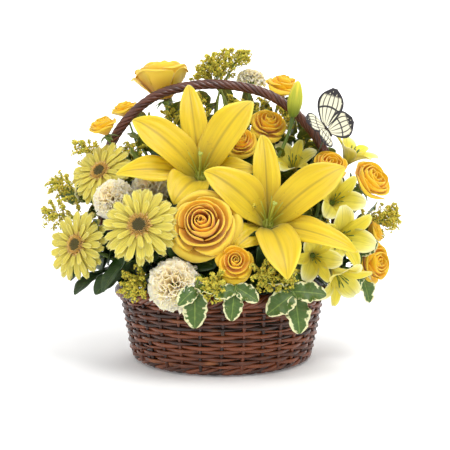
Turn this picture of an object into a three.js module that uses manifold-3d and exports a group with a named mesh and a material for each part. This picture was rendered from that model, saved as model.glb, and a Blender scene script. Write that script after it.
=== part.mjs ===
// A flower basket arrangement: a round willow basket with a twisted arch handle, a
// waterproof liner and a block of floral foam inside it, and yellow and cream flowers
// whose stems stand in holes in the foam.  Millimetres, +Z up.  The origin is the middle
// of the flat underside, and the front of the arrangement looks along -Y.
import * as THREE from 'three';
import { mergeVertices } from 'three/addons/utils/BufferGeometryUtils.js';
import Module from 'manifold-3d';

const wasm = await Module();
wasm.setup();

// ---------------------------------------------------------------- driving dimensions
const DEG = Math.PI / 180;

const BASKET = {
  baseRadius: 92, bodyRadius: 101, slope: 0.19, roundHeight: 12, wallTop: 68,
  wallThick: 6, relief: 1.5, stakes: 32, rows: 7, baseThick: 6,
};
const RIM = { radius: 111.5, gap: 0.3, halfWidth: 6.8, halfHeight: 7.2, strands: 24, swell: 0.09 };
const HANDLE = { thick: 5.5, lobe: 0.16, turns: 9, steps: 36, sides: 8 };
const LINER = { topRadius: 87, bottomRadius: 80, bottom: 6.6, top: 80, thick: 1.6 };
const FOAM = { radius: 84, bottom: 9, shoulder: 100, top: 118, topRadius: 64, sides: 24 };
const CLEARANCE = 0.35;
const MOUTH = 3;
const SEAT = 0.7;

// Where a stem enters the foam: radius and height on its skin, and of its cut end inside.
const LEVEL = {
  side: { skin: [84, 95], end: [62, 90] },
  shoulder: { skin: [70, 112.6], end: [50, 80] },
  crown: { skin: [40, 118], end: [34, 80] },
  heart: { skin: [20, 118], end: [17, 80] },
};

// ---------------------------------------------------------------- solids and meshes
const vec = (x, y, z) => new THREE.Vector3(x, y, z);
const toVec = (p) => (p.isVector3 ? p.clone() : new THREE.Vector3(...p));

function solidOf(geometry) {
  const bare = geometry.clone();
  for (const name of Object.keys(bare.attributes)) {
    if (name !== 'position') bare.deleteAttribute(name);
  }
  const merged = mergeVertices(bare, 1e-4);
  return new wasm.Manifold(new wasm.Mesh({
    numProp: 3,
    vertProperties: new Float32Array(merged.attributes.position.array),
    triVerts: new Uint32Array(merged.index.array),
  }));
}

// The largest connected skin of a solid: loose scraps go and sealed hollows are filled.
function mainBody(solid) {
  return solid.decompose().reduce((a, b) => (b.volume() > a.volume() ? b : a));
}

function geometryOf(solid) {
  const mesh = mainBody(solid).getMesh();
  const geometry = new THREE.BufferGeometry();
  geometry.setAttribute('position', new THREE.BufferAttribute(mesh.vertProperties, 3));
  geometry.setIndex(new THREE.BufferAttribute(mesh.triVerts, 1));
  return geometry;
}

// Joins solids two by two, which keeps the bodies of each join small.
function fuse(solids) {
  let list = solids;
  while (list.length > 1) {
    const next = [];
    for (let i = 0; i < list.length; i += 2) {
      next.push(i + 1 < list.length ? list[i].add(list[i + 1]) : list[i]);
    }
    list = next;
  }
  return list[0];
}

function indexed(points, faces) {
  const geometry = new THREE.BufferGeometry();
  geometry.setAttribute('position', new THREE.Float32BufferAttribute(points.flatMap((p) => p.toArray()), 3));
  geometry.setIndex(faces.flat());
  return geometry;
}

// A thin blade over the surface(s, t), s from -1 to 1 across and t from 0 to 1 along.  Its
// border is sharp, inside it the two faces lie `thick` apart, and both are split alike.
function blade(surface, rows, cols, thick) {
  const points = [];
  const faces = [];
  const upper = [];
  const lower = [];
  const step = 1e-3;
  for (let i = 0; i <= rows; i++) {
    upper.push([]);
    lower.push([]);
    for (let j = 0; j <= cols; j++) {
      const s = -1 + (2 * j) / cols;
      const t = i / rows;
      const p = surface(s, t);
      if (i === 0 || j === 0 || i === rows || j === cols) {
        upper[i].push(points.length);
        lower[i].push(points.length);
        points.push(p);
      } else {
        const across = surface(s + step, t).sub(surface(s - step, t));
        const along = surface(s, t + step).sub(surface(s, t - step));
        const lift = across.cross(along).normalize().multiplyScalar(thick / 2);
        upper[i].push(points.length);
        lower[i].push(points.length + 1);
        points.push(p.clone().add(lift), p.clone().sub(lift));
      }
    }
  }
  for (let i = 0; i < rows; i++) {
    for (let j = 0; j < cols; j++) {
      const same = (i < rows / 2) === (j < cols / 2);
      for (const [grid, turn] of [[upper, false], [lower, true]]) {
        const [a, b, c, d] = [grid[i][j], grid[i][j + 1], grid[i + 1][j + 1], grid[i + 1][j]];
        const pair = same ? [[a, b, c], [a, c, d]] : [[a, b, d], [b, c, d]];
        for (const [p, q, r] of pair) faces.push(turn ? [p, r, q] : [p, q, r]);
      }
    }
  }
  return solidOf(indexed(points, faces));
}

// A tube with a regular section along the points, with a radius at each.  Its section is
// carried along from the last point to the first without twisting.
function tube(points, radii, sides) {
  const line = points.map(toVec);
  const last = line.length - 1;
  const heading = (i) => line[Math.max(i - 1, 0)].clone().sub(line[Math.min(i + 1, last)]).normalize();
  const first = heading(last);
  const aside = Math.abs(first.z) > 0.9 ? vec(1, 0, 0) : vec(0, 0, 1);
  let side = first.clone().cross(aside).normalize();
  const rings = [];
  for (let i = last; i >= 0; i--) {
    const ahead = heading(i);
    side = side.addScaledVector(ahead, -side.dot(ahead)).normalize();
    const up = ahead.clone().cross(side);
    const radius = Array.isArray(radii) ? radii[i] : radii;
    rings.push(Array.from({ length: sides }, (_, k) => {
      const turn = (2 * Math.PI * k) / sides;
      return line[i].clone().addScaledVector(side, radius * Math.cos(turn))
        .addScaledVector(up, radius * Math.sin(turn));
    }));
  }
  return solidOf(closedTube(rings));
}

// A turned solid about +Z from [radius, height] pairs that start and end on the axis.
function turned(profile, sides) {
  const lathe = new THREE.LatheGeometry(profile.map(([r, z]) => new THREE.Vector2(r, z)), sides);
  return solidOf(lathe.rotateX(Math.PI / 2));
}

// The turn that carries +Z to `face`, after a roll about +Z.
function facing(face, roll = 0) {
  const turn = new THREE.Quaternion().setFromUnitVectors(vec(0, 0, 1), toVec(face).normalize());
  return turn.multiply(new THREE.Quaternion().setFromAxisAngle(vec(0, 0, 1), roll * DEG));
}

function moved(solid, at, face, roll = 0, scale = 1) {
  const matrix = new THREE.Matrix4().compose(toVec(at), facing(face, roll), vec(scale, scale, scale));
  return solidOf(geometryOf(solid).applyMatrix4(matrix));
}

// ---------------------------------------------------------------- the arrangement
const arrangement = new THREE.Group();
const placed = [];
const drills = [];

function material(color, roughness) {
  return new THREE.MeshStandardMaterial({ color, roughness, metalness: 0 });
}

function addMesh(name, geometry, mat, at = [0, 0, 0], turn = new THREE.Quaternion()) {
  const mesh = new THREE.Mesh(geometry, mat);
  mesh.name = name;
  mesh.position.set(...at);
  mesh.quaternion.copy(turn);
  mesh.updateMatrixWorld();
  arrangement.add(mesh);
  placed.push(solidOf(geometry.clone().applyMatrix4(mesh.matrixWorld)));
  return mesh;
}

function isClear(solid) {
  return placed.every((other) => solid.intersect(other).isEmpty());
}

const COLOUR = {
  willow: material(0x5a2c1c, 0.55),
  plastic: material(0x2f4a35, 0.4),
  foam: material(0x3f6b3a, 0.95),
  green: material(0x587a32, 0.6),
  darkLeaf: material(0x2c4a28, 0.5),
  lily: material(0xf0d020, 0.55),
  rose: material(0xf6c22a, 0.6),
  gerbera: material(0xdcd27a, 0.6),
  cream: material(0xece0bc, 0.75),
  alstroemeria: material(0xe6dc66, 0.6),
  goldenrod: material(0xb8a82c, 0.8),
  variegated: material(0x6c9048, 0.5),
  wing: material(0xf4eecb, 0.6),
};

// ---------------------------------------------------------------- basket
function wallRadius(z) {
  const rise = Math.min(z / BASKET.roundHeight, 1);
  const round = Math.sqrt(1 - (1 - rise) ** 2);
  return BASKET.baseRadius + (BASKET.bodyRadius - BASKET.baseRadius) * round
    + BASKET.slope * Math.max(z - BASKET.roundHeight, 0);
}

// Random weave as relief: each row of weavers stands out over every second stake.
function basketWall() {
  const rings = [];
  for (let j = 0; j <= BASKET.rows; j++) {
    const z = (BASKET.wallTop * j) / BASKET.rows;
    const ring = [];
    for (let k = 0; k < BASKET.stakes; k++) {
      const a = (2 * Math.PI * k) / BASKET.stakes;
      const out = j === 0 || j === BASKET.rows ? 0 : BASKET.relief * ((k + j) % 2 ? 1 : -1);
      const r = wallRadius(z) + out;
      ring.push(vec(r * Math.cos(a), r * Math.sin(a), z));
    }
    rings.push(ring);
  }
  for (const z of [BASKET.wallTop, BASKET.roundHeight, 0]) {
    const r = wallRadius(z) - BASKET.wallThick;
    rings.push(rings[0].map((p, k) => {
      const a = (2 * Math.PI * k) / BASKET.stakes;
      return vec(r * Math.cos(a), r * Math.sin(a), z);
    }));
  }
  return closedBand(rings);
}

// A ring-shaped solid from sections' rows that close on the first row.
function closedBand(rings) {
  const count = rings[0].length;
  const faces = [];
  rings.forEach((_, j) => {
    const next = ((j + 1) % rings.length) * count;
    for (let k = 0; k < count; k++) {
      const kn = (k + 1) % count;
      const [a, b, c, d] = [j * count + k, j * count + kn, next + kn, next + k];
      faces.push([a, b, c], [a, c, d]);
    }
  });
  return indexed(rings.flat(), faces);
}

// Braided border, seated on the wall's top: a ring whose skin rises and falls as its
// strands cross over.
function basketRim() {
  const rows = 6;
  const around = RIM.strands * 2;
  const middle = BASKET.wallTop + RIM.gap + RIM.halfHeight * (1 - RIM.swell);
  const rings = [];
  for (let j = 0; j < rows; j++) {
    const phi = (2 * Math.PI * j) / rows - Math.PI / 2;
    const ring = [];
    for (let k = 0; k < around; k++) {
      const a = (2 * Math.PI * k) / around;
      const swell = 1 - RIM.swell + RIM.swell * Math.cos(Math.PI * k + phi);
      const r = RIM.radius + RIM.halfWidth * swell * Math.cos(phi);
      ring.push(vec(r * Math.cos(a), r * Math.sin(a), middle + RIM.halfHeight * swell * Math.sin(phi)));
    }
    rings.push(ring);
  }
  return closedBand(rings);
}

function basketBase() {
  const inner = BASKET.baseRadius - BASKET.wallThick - CLEARANCE;
  const t = BASKET.baseThick;
  return turned([[0, 0], [inner, 0], [inner, t * 0.6], [inner - 8, t], [0, t]], 24);
}

// The arch as half of its route, from the foot inside the wall to the top, as
// [distance from the middle, height].  The top leans a little to the left.
const HANDLE_ROUTE = [
  [90, 16], [93, 34], [97.2, 60], [99.2, 84], [113, 106], [127, 138], [131, 174],
  [126, 209], [112, 241], [88, 270], [62, 288], [32, 297],
];
const HANDLE_TOP = 300;
const HANDLE_LEAN = 10;

function handleCurve() {
  const lean = (z) => -HANDLE_LEAN * Math.max((z - 84) / (HANDLE_TOP - 84), 0);
  const left = HANDLE_ROUTE.map(([x, z]) => vec(-x + lean(z), 0, z));
  const right = HANDLE_ROUTE.map(([x, z]) => vec(x + lean(z), 0, z)).reverse();
  return new THREE.CatmullRomCurve3([...left, vec(lean(HANDLE_TOP), 0, HANDLE_TOP), ...right], false, 'centripetal');
}

// Two rods twisted together: an oval section that turns along the arch.
function basketHandle() {
  const curve = handleCurve();
  const { steps, sides, thick, lobe, turns } = HANDLE;
  const rings = [];
  for (let i = 0; i <= steps; i++) {
    const u = i / steps;
    const p = curve.getPointAt(u);
    const ahead = curve.getTangentAt(u);
    const side = vec(0, 1, 0);
    const up = ahead.clone().cross(side);
    const ring = [];
    for (let k = 0; k < sides; k++) {
      const a = (2 * Math.PI * k) / sides;
      const r = thick * (1 + lobe * Math.cos(2 * a - 2 * Math.PI * turns * u)) / (1 + lobe);
      ring.push(p.clone().addScaledVector(side, r * Math.cos(a)).addScaledVector(up, r * Math.sin(a)));
    }
    rings.push(ring);
  }
  return closedTube(rings);
}

// A tube from rings of points, closed at both ends.
function closedTube(rings) {
  const count = rings[0].length;
  const faces = [];
  for (let j = 0; j + 1 < rings.length; j++) {
    for (let k = 0; k < count; k++) {
      const kn = (k + 1) % count;
      const [a, b, c, d] = [j * count + k, j * count + kn, (j + 1) * count + kn, (j + 1) * count + k];
      faces.push([a, b, c], [a, c, d]);
    }
  }
  const last = (rings.length - 1) * count;
  for (let k = 1; k + 1 < count; k++) {
    faces.push([0, k + 1, k], [last, last + k, last + k + 1]);
  }
  return indexed(rings.flat(), faces);
}

function liner() {
  const { topRadius, bottomRadius, bottom, top, thick } = LINER;
  return turned([
    [0, bottom], [bottomRadius, bottom], [topRadius, top], [topRadius - thick, top],
    [bottomRadius - thick, bottom + thick], [0, bottom + thick],
  ], 24);
}

function foamBlock() {
  const { radius, bottom, shoulder, top, topRadius, sides } = FOAM;
  const foot = LINER.bottomRadius - LINER.thick - 1;
  return turned([
    [0, bottom], [foot, bottom], [radius, LINER.top - 4], [radius, shoulder], [topRadius, top], [0, top],
  ], sides);
}

// ---------------------------------------------------------------- stems
// A stem's route from the flower's foot: back along the flower's axis, round to the line
// of its hole, and straight along that line to its cut end in the foam.
function stemRoute(foot, axis, [azimuth, level], bends = 5) {
  const a = azimuth * DEG;
  const at = ([r, z]) => vec(r * Math.cos(a), r * Math.sin(a), z);
  const skin = at(LEVEL[level].skin);
  const end = at(LEVEL[level].end);
  const out = skin.clone().sub(end).normalize();
  const start = toVec(foot);
  const mouth = skin.clone().addScaledVector(out, MOUTH);
  const span = start.distanceTo(mouth);
  const curve = new THREE.CubicBezierCurve3(
    start,
    start.clone().addScaledVector(toVec(axis).normalize(), -0.35 * span),
    mouth.clone().addScaledVector(out, 0.35 * span),
    mouth,
  );
  return [...curve.getSpacedPoints(bends), end];
}

// Cuts the hole for the last, straight stretch of a stem's route.
function drillFor(route, radius, sides) {
  const [mouth, end] = route.slice(-2);
  const way = end.clone().sub(mouth).normalize();
  const wide = radius + CLEARANCE / Math.cos(Math.PI / sides);
  drills.push(tube([mouth.clone().addScaledVector(way, -4), end.clone().addScaledVector(way, 1)], wide, sides));
}

// A stem with its hole; `top` gives the radii of the first rings, where a calyx flares.
function plantedStem(route, radius, sides = 4, top = []) {
  drillFor(route, radius, sides);
  return tube(route, route.map((_, i) => (i < top.length ? top[i] : radius)), sides);
}

// A ring of petals that grow from the sides of one hub.  Petal k's sections come from
// section(k, t): a middle, a half width vector and a thickness vector.
function whorl(count, hub, segments, section) {
  const points = [];
  const faces = [];
  const add = (p) => points.push(p) - 1;
  const rim = (z) => Array.from({ length: count }, (_, k) => {
    const a = (2 * Math.PI * (k - 0.5)) / count;
    return add(vec(hub.radius * Math.cos(a), hub.radius * Math.sin(a), z));
  });
  const upper = rim(hub.top);
  const lower = rim(hub.bottom);
  const crown = add(vec(0, 0, hub.crown));
  const foot = add(vec(0, 0, hub.foot));
  for (let k = 0; k < count; k++) {
    const n = (k + 1) % count;
    faces.push([crown, upper[k], upper[n]], [foot, lower[n], lower[k]]);
    let last = [lower[k], lower[n], upper[n], upper[k]];
    for (let i = 1; i <= segments; i++) {
      const { middle, half, thick } = section(k, i / segments);
      const corner = (s, t) => add(middle.clone().addScaledVector(half, s).addScaledVector(thick, t));
      const ring = [corner(-1, -0.5), corner(1, -0.5), corner(1, 0.5), corner(-1, 0.5)];
      for (let j = 0; j < 4; j++) {
        const m = (j + 1) % 4;
        faces.push([last[j], last[m], ring[m]], [last[j], ring[m], ring[j]]);
      }
      last = ring;
    }
    faces.push([last[0], last[1], last[2]], [last[0], last[2], last[3]]);
  }
  return solidOf(indexed(points, faces));
}

// A solid about +Z with ruffled lips: rings of [radius, height, ripple out, ripple up], each
// rising and falling from column to column, closed by a point at each end.
function ruffled(foot, rings, crown, columns, lobes) {
  const points = [vec(0, 0, foot)];
  const faces = [];
  rings.forEach(([radius, height, out, up]) => {
    for (let k = 0; k < columns; k++) {
      const a = (2 * Math.PI * k) / columns;
      const ripple = Math.cos(lobes * a);
      const r = radius + out * ripple;
      points.push(vec(r * Math.cos(a), r * Math.sin(a), height + up * ripple));
    }
  });
  const top = points.push(vec(0, 0, crown)) - 1;
  const last = (rings.length - 1) * columns + 1;
  for (let k = 0; k < columns; k++) {
    const n = (k + 1) % columns;
    faces.push([0, 1 + n, 1 + k], [top, last + k, last + n]);
    for (let j = 0; j + 1 < rings.length; j++) {
      const [low, high] = [1 + j * columns, 1 + (j + 1) * columns];
      faces.push([low + k, low + n, high + n], [low + k, high + n, high + k]);
    }
  }
  return solidOf(indexed(points, faces));
}

// ---------------------------------------------------------------- lilies
const LILY = { length: 97, wide: 20, narrow: 13, thick: 1.6, inner: 20, outer: 34, finish: 98 };

// A lily petal is a blade that leaves the throat near the flower's axis, bends out past it
// and is broadest beyond its middle.  The outer three leave it at a wider angle.
function lilyPetal([angle, length, halfWidth, start]) {
  const a = angle * DEG;
  const b0 = start * DEG;
  const bend = (LILY.finish - start) * DEG;
  return blade((s, t) => {
    const b = b0 + bend * t;
    const w = halfWidth * (0.14 + 0.86 * Math.sin(Math.PI * Math.min(t, 0.97) ** 1.1) ** 0.9);
    const cup = 0.3 * w * s * s * (1 - 0.7 * t);
    const r = 3 + (length * (Math.cos(b0) - Math.cos(b))) / bend - cup * Math.cos(b);
    const z = 6 + (length * (Math.sin(b) - Math.sin(b0))) / bend + cup * Math.sin(b);
    const side = s * w * (t > 0.99 ? 0.1 : 1);
    return vec(
      r * Math.cos(a) - side * Math.sin(a),
      r * Math.sin(a) + side * Math.cos(a),
      z,
    );
  }, 4, 4, LILY.thick);
}

// Six petals in two rings, and the pistil that stands in the throat.
function lilyBloom(petals) {
  const parts = [turned([[0, 0], [4, 0], [7, 10], [4, 16], [0, 16]], 6)];
  for (const [angle, kind, share] of petals) {
    const inner = kind === 'wide';
    parts.push(lilyPetal([angle, LILY.length * share, LILY[kind], inner ? LILY.inner : LILY.outer]));
  }
  parts.push(tube([[0, 0, 12], [1, 0, 50], [1, 0, 51], [1, 0, 55]], [1.3, 1.3, 3, 2], 4));
  return fuse(parts);
}

// Each lily's petals: angle round the flower, ring, and share of the full length.
const LILIES = [
  { name: 'upper', at: [-22, -46, 190], face: [0, -0.87, 0.5], entry: [250, 'crown'],
    petals: [[98, 'narrow', 1.08], [148, 'wide', 1], [191, 'narrow', 0.95], [242, 'wide', 0.63],
      [355, 'narrow', 0.66], [50, 'wide', 1.05]] },
  { name: 'front', at: [45, -70, 142], face: [0.05, -0.87, 0.5], entry: [297, 'shoulder'],
    petals: [[96, 'narrow', 1], [32, 'wide', 1.05], [332, 'narrow', 1.02], [280, 'wide', 0.95],
      [152, 'wide', 0.93], [228, 'narrow', 0.55]] },
  { name: 'back', at: [-10, 62, 190], face: [-0.1, 0.87, 0.5], entry: [95, 'crown'],
    petals: [[90, 'narrow', 1], [150, 'wide', 1], [210, 'narrow', 1], [270, 'wide', 0.95],
      [330, 'narrow', 1], [30, 'wide', 1]] },
];

// A closed lily bud: six-sided, fullest below its middle and drawn out to a blunt tip.
const LILY_BUD = {
  at: [77, -8, 262], face: [0.12, -0.3, 0.95], entry: [20, 'heart'], length: 40, radius: 8.5, sunk: 4,
};

function lilyBud() {
  const { length, radius } = LILY_BUD;
  const outline = [[0, 0], [0.45, 0.04], [0.9, 0.28], [1, 0.5], [0.72, 0.8], [0.3, 0.98], [0, 1]];
  return turned(outline.map(([share, along]) => [radius * share, length * along]), 6);
}

// ---------------------------------------------------------------- roses
// A petal wrapped round the flower from its foot to its lip, which rolls outwards.
function rosePetal(angle, span, foot, lip) {
  return blade((s, t) => {
    const a = (angle + s * span * (1 - 0.3 * t ** 3)) * DEG;
    const r = (foot[0] + (lip[0] - foot[0]) * t ** 1.15) * (1 + 0.06 * s);
    const z = foot[1] + (lip[1] - foot[1]) * Math.sin((Math.PI / 2) * t ** 0.9) - 4.5 * s * s * t;
    return vec(r * Math.cos(a), r * Math.sin(a), z);
  }, 3, 4, 1.4);
}

// A full rose: a coiled heart with its petals' lips one inside the other, and five outer
// petals that roll back round it.
function roseBloom() {
  const parts = [ruffled(0, [
    [7, 1, 0, 0], [15, 11, 0, 0], [23, 35, 1.5, -2], [16.5, 30, 1, 0],
    [16.5, 40, -1.2, 1.5], [11, 34, 0, 0], [9, 43, 0.8, 1], [4.5, 38, 0, 0],
  ], 43, 9, 3)];
  for (let k = 0; k < 5; k++) parts.push(rosePetal(10 + 72 * k, 37, [9, 6], [31, 27]));
  return fuse(parts);
}

const ROSES = [
  { name: 'front', at: [-16, -87, 140], face: [-0.05, -0.94, 0.32], entry: [262, 'shoulder'] },
  { name: 'top', at: [-65, 33, 287], face: [-0.15, -0.1, 0.98], entry: [154, 'crown'] },
  { name: 'back', at: [34, 84, 158], face: [0.12, 0.92, 0.3], entry: [64, 'shoulder'] },
];

// A rose's stem, which swells under the flower, with its five sepals bent back.
function roseGreens(at, face, entry) {
  const route = stemRoute(toVec(at).addScaledVector(toVec(face).normalize(), -SEAT), face, entry);
  const sepals = whorl(5, { radius: 4, top: -SEAT, bottom: -3, crown: -SEAT, foot: -3 }, 1, (k) => {
    const a = 72 * k * DEG;
    return {
      middle: vec(16 * Math.cos(a), 16 * Math.sin(a), -8),
      half: vec(-0.6 * Math.sin(a), 0.6 * Math.cos(a), 0),
      thick: vec(0, 0, 0.7),
    };
  });
  return fuse([plantedStem(route, 2.6, 4, [2]), moved(sepals, at, face)]);
}

// ---------------------------------------------------------------- gerberas
const GERBERA = { radius: 36, rays: 20, disc: 8.5 };

// A daisy head: long flat rays, every second one shorter and higher, round a raised disc.
function gerberaBloom() {
  const { radius, rays, disc } = GERBERA;
  return whorl(rays, { radius: disc, top: 1.5, bottom: -2, crown: 3, foot: -5 }, 2, (k, t) => {
    const a = (360 / rays) * k * DEG;
    const front = k % 2;
    const reach = front ? radius * 0.86 : radius;
    const r = disc + (reach - disc) * t;
    const wide = t < 0.9 ? (front ? 2.8 : 2.4) : 1.8;
    const rise = front ? [4.2, 3.4] : [1, -1.2];
    return {
      middle: vec(r * Math.cos(a), r * Math.sin(a), t < 0.9 ? rise[0] : rise[1]),
      half: vec(-wide * Math.sin(a), wide * Math.cos(a), 0),
      thick: vec(0, 0, t < 0.9 ? 1.1 : 0.7),
    };
  });
}

const GERBERAS = [
  { name: 'front', at: [-76, -112, 147], face: [-0.12, -0.95, 0.28], entry: [236, 'shoulder'] },
  { name: 'low', at: [-145, -64, 126], face: [-0.5, -0.84, 0.2], entry: [204, 'side'] },
  { name: 'left', at: [-128, -29, 201], face: [-0.36, -0.8, 0.46], entry: [190, 'shoulder'] },
  { name: 'back', at: [106, 84, 140], face: [0.65, 0.72, 0.25], entry: [40, 'side'] },
];

function gerberaGreens(at, face, entry) {
  const foot = toVec(at).addScaledVector(toVec(face).normalize(), -5 - SEAT);
  return plantedStem(stemRoute(foot, face, entry), 2.3, 5, [5.5, 2.6]);
}

// ---------------------------------------------------------------- carnations
// A dense ruffled head: its fringed lips stand one over the other on a slim green cup.
function carnationHead() {
  return ruffled(-19, [
    [4, -18, 0, 0], [6.5, -3, 0, 0], [21, 0, 2.2, 2.5], [15, 5, 0, 0], [20.5, 9, -2, 2.5],
    [12, 11, 0, 0], [14, 17, 1.5, 2], [7, 15, 0, 0], [6, 21, -1, 1.5],
  ], 18, 12, 6);
}

const CARNATIONS = [
  { name: 'front', at: [-44, -112, 92], face: [-0.12, -0.92, 0.25], size: 1, entry: [248, 'side'] },
  { name: 'left', at: [-108, -72, 172], face: [-0.45, -0.8, 0.35], size: 0.82, entry: [217, 'shoulder'] },
  { name: 'middle', at: [-74, -36, 186], face: [-0.25, -0.85, 0.45], size: 0.85, entry: [222, 'crown'] },
  { name: 'top', at: [34, 47, 314], face: [0.1, -0.1, 1], size: 0.68, entry: [60, 'crown'] },
  { name: 'back', at: [-85, 88, 178], face: [-0.55, 0.75, 0.35], size: 1, entry: [134, 'shoulder'] },
];

// ---------------------------------------------------------------- spray roses
// A small open rose: three rings of petal lips, one inside the other, on a green cup.
function sprayRoseHead() {
  return ruffled(-6, [
    [3.5, -4.5, 0, 0], [6.5, 1, 0, 0], [15.2, 12, 1.3, -1], [10, 9, 0, 0], [10.6, 17.5, -0.8, 0.8],
    [5.5, 13, 0, 0],
  ], 20, 10, 5);
}

// Each spray: its blooms as [foot, face, size], and where their stems part.
const SPRAY_ROSES = [
  { name: 'front', entry: [277, 'side'], blooms: [[[12, -111, 110], [0.05, -0.93, 0.35], 1.1]] },
  { name: 'left', entry: [172, 'crown'], fork: [-84, -4, 205],
    blooms: [[[-123, -20, 241], [-0.3, -0.4, 0.85], 1], [[-108, 24, 266], [-0.3, -0.3, 0.9], 0.95]] },
  { name: 'top', entry: [28, 'crown'], blooms: [[[68, 42, 293], [0.25, -0.4, 0.88], 1.3]] },
  { name: 'middle', entry: [330, 'heart'], fork: [30, 0, 190],
    blooms: [[[51, 24, 250], [0.1, -0.8, 0.6], 1.3], [[20, 4, 230], [0, -0.85, 0.5], 1.15]] },
  { name: 'right', entry: [349, 'shoulder'], fork: [104, -22, 168],
    blooms: [[[112, -22, 200], [0.2, -0.75, 0.6], 1.15], [[150, -16, 184], [0.5, -0.7, 0.5], 1.45]] },
  { name: 'low', entry: [355, 'side'], fork: [130, -6, 112],
    blooms: [[[154, -14, 104], [0.6, -0.75, 0.1], 1.35], [[162, 4, 134], [0.85, -0.3, 0.4], 0.85]] },
  { name: 'back', entry: [118, 'shoulder'], fork: [-50, 84, 140],
    blooms: [[[-48, 104, 150], [-0.3, 0.9, 0.3], 1.05], [[-80, 98, 128], [-0.5, 0.8, 0.1], 0.9]] },
];

// A stem that ends in one head, or parts into a twig for each head.
function sprayOf(head, { blooms, entry, fork }, radius, neck) {
  const parts = [];
  if (fork) {
    const route = stemRoute(fork, [0, 0, 1], entry, 4);
    parts.push(plantedStem(route, radius));
    const sunk = route[0].clone().lerp(route[1], 0.15);
    for (const [at, face, size] of blooms) {
      const back = toVec(at).addScaledVector(toVec(face).normalize(), -1.6 * neck * size);
      parts.push(tube([at, back, sunk], radius * 0.85, 3));
    }
  } else {
    const [at, face, size] = blooms[0];
    const foot = toVec(at).addScaledVector(toVec(face).normalize(), -neck * size + 2);
    parts.push(plantedStem(stemRoute(foot, face, entry), radius));
  }
  for (const [at, face, size] of blooms) parts.push(moved(head, at, face, 0, size));
  return fuse(parts);
}

// ---------------------------------------------------------------- alstroemerias
// A lily-like floret: six petals, the broad and the narrow by turns, on a short tube.
function alstroemeriaHead() {
  return whorl(6, { radius: 3.6, top: 8, bottom: 3, crown: 6, foot: -4 }, 2, (k, t) => {
    const a = 60 * k * DEG;
    const broad = k % 2 ? 5 : 7.6;
    const wide = t < 0.9 ? broad : 1.2;
    const [r, z] = t < 0.9 ? [12, 20] : [24, 29];
    const lean = (t < 0.9 ? 50 : 35) * DEG;
    return {
      middle: vec(r * Math.cos(a), r * Math.sin(a), z - (k % 2 ? 0 : 2)),
      half: vec(-wide * Math.sin(a), wide * Math.cos(a), 0),
      thick: vec(-Math.sin(lean) * Math.cos(a), -Math.sin(lean) * Math.sin(a), Math.cos(lean)),
    };
  });
}

const ALSTROEMERIAS = [
  { name: 'upper', entry: [6, 'crown'], fork: [92, 6, 186],
    blooms: [[[140, 22, 212], [0.45, -0.4, 0.8], 1], [[80, 12, 204], [-0.1, -0.7, 0.7], 0.95]] },
  { name: 'middle', entry: [334, 'shoulder'], fork: [96, -40, 142],
    blooms: [[[116, -30, 168], [0.2, -0.9, 0.25], 1], [[118, -48, 134], [0.3, -0.9, 0.05], 1.1]] },
  { name: 'low', entry: [319, 'side'], fork: [80, -74, 112],
    blooms: [[[109, -80, 106], [0.35, -0.6, -0.6], 1], [[88, -88, 118], [0.1, -0.9, -0.1], 0.85]] },
];

// ---------------------------------------------------------------- goldenrod
// A plume: a leafless tip whose side twigs are beaded with florets.
function plume({ route, entry, twigs = 4, reach = 26 }, seed) {
  const random = seeded(seed);
  const path = new THREE.CatmullRomCurve3(route.map(toVec), false, 'centripetal');
  const line = [...path.getPoints(3), ...stemRoute(path.getPoint(1), route[0].map((v, i) => v - route[1][i]), entry, 3).slice(1)];
  const parts = [plantedStem(line, 1.5, 3, [2.2, 1.6])];
  for (let k = 0; k < twigs; k++) {
    const u = (k + 0.4) / twigs;
    const foot = path.getPointAt(u);
    const ahead = path.getTangentAt(u).negate();
    const side = ahead.clone().cross(vec(0.3, 0.2, 1)).normalize().applyAxisAngle(ahead, k * 137.5 * DEG);
    const length = reach * (0.45 + 0.55 * u) * (0.85 + 0.3 * random());
    const way = side.multiplyScalar(0.8).addScaledVector(ahead, 0.65).normalize();
    const spots = [0, 0.3, 0.5, 0.62, 0.8, 0.95].map((share) => foot.clone().addScaledVector(way, length * share));
    spots.push(foot.clone().addScaledVector(way, length).add(vec(0, 0, 1.5)));
    const twig = tube(spots, [0.8, 0.9, 3.4, 1.2, 3.6, 3.2, 0.8], 3);
    if (isClear(twig)) parts.push(twig);
  }
  return fuse(parts);
}

// Repeatable random numbers from 0 to 1.
function seeded(seed) {
  let state = seed;
  return () => {
    state = (state * 16807) % 2147483647;
    return state / 2147483647;
  };
}

const GOLDENROD = [
  { name: 'top', entry: [84, 'crown'], route: [[6, 30, 342], [0, 30, 318], [-2, 31, 292]] },
  { name: 'upper_left', entry: [172, 'shoulder'], route: [[-162, 10, 236], [-142, 14, 222], [-112, 15, 196]] },
  { name: 'left', entry: [191, 'side'], route: [[-194, -20, 158], [-168, -19, 154], [-132, -18, 138]] },
  { name: 'middle', entry: [282, 'shoulder'], route: [[27, -84, 166], [25, -76, 154], [20, -70, 138]] },
  { name: 'front', entry: [291, 'side'], route: [[42, -124, 100], [38, -114, 101], [32, -102, 100]] },
  { name: 'front_left', entry: [231, 'side'], route: [[-86, -108, 86], [-78, -98, 94], [-68, -86, 98]] },
  { name: 'right', entry: [12, 'side'], route: [[199, 12, 160], [176, 17, 151], [136, 20, 128]] },
  { name: 'back', entry: [98, 'side'], route: [[-6, 128, 124], [-5, 116, 118], [-4, 102, 108]] },
  { name: 'front_middle', entry: [268, 'side'], route: [[-6, -134, 90], [-5, -124, 94], [-4, -112, 97]] },
];

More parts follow.
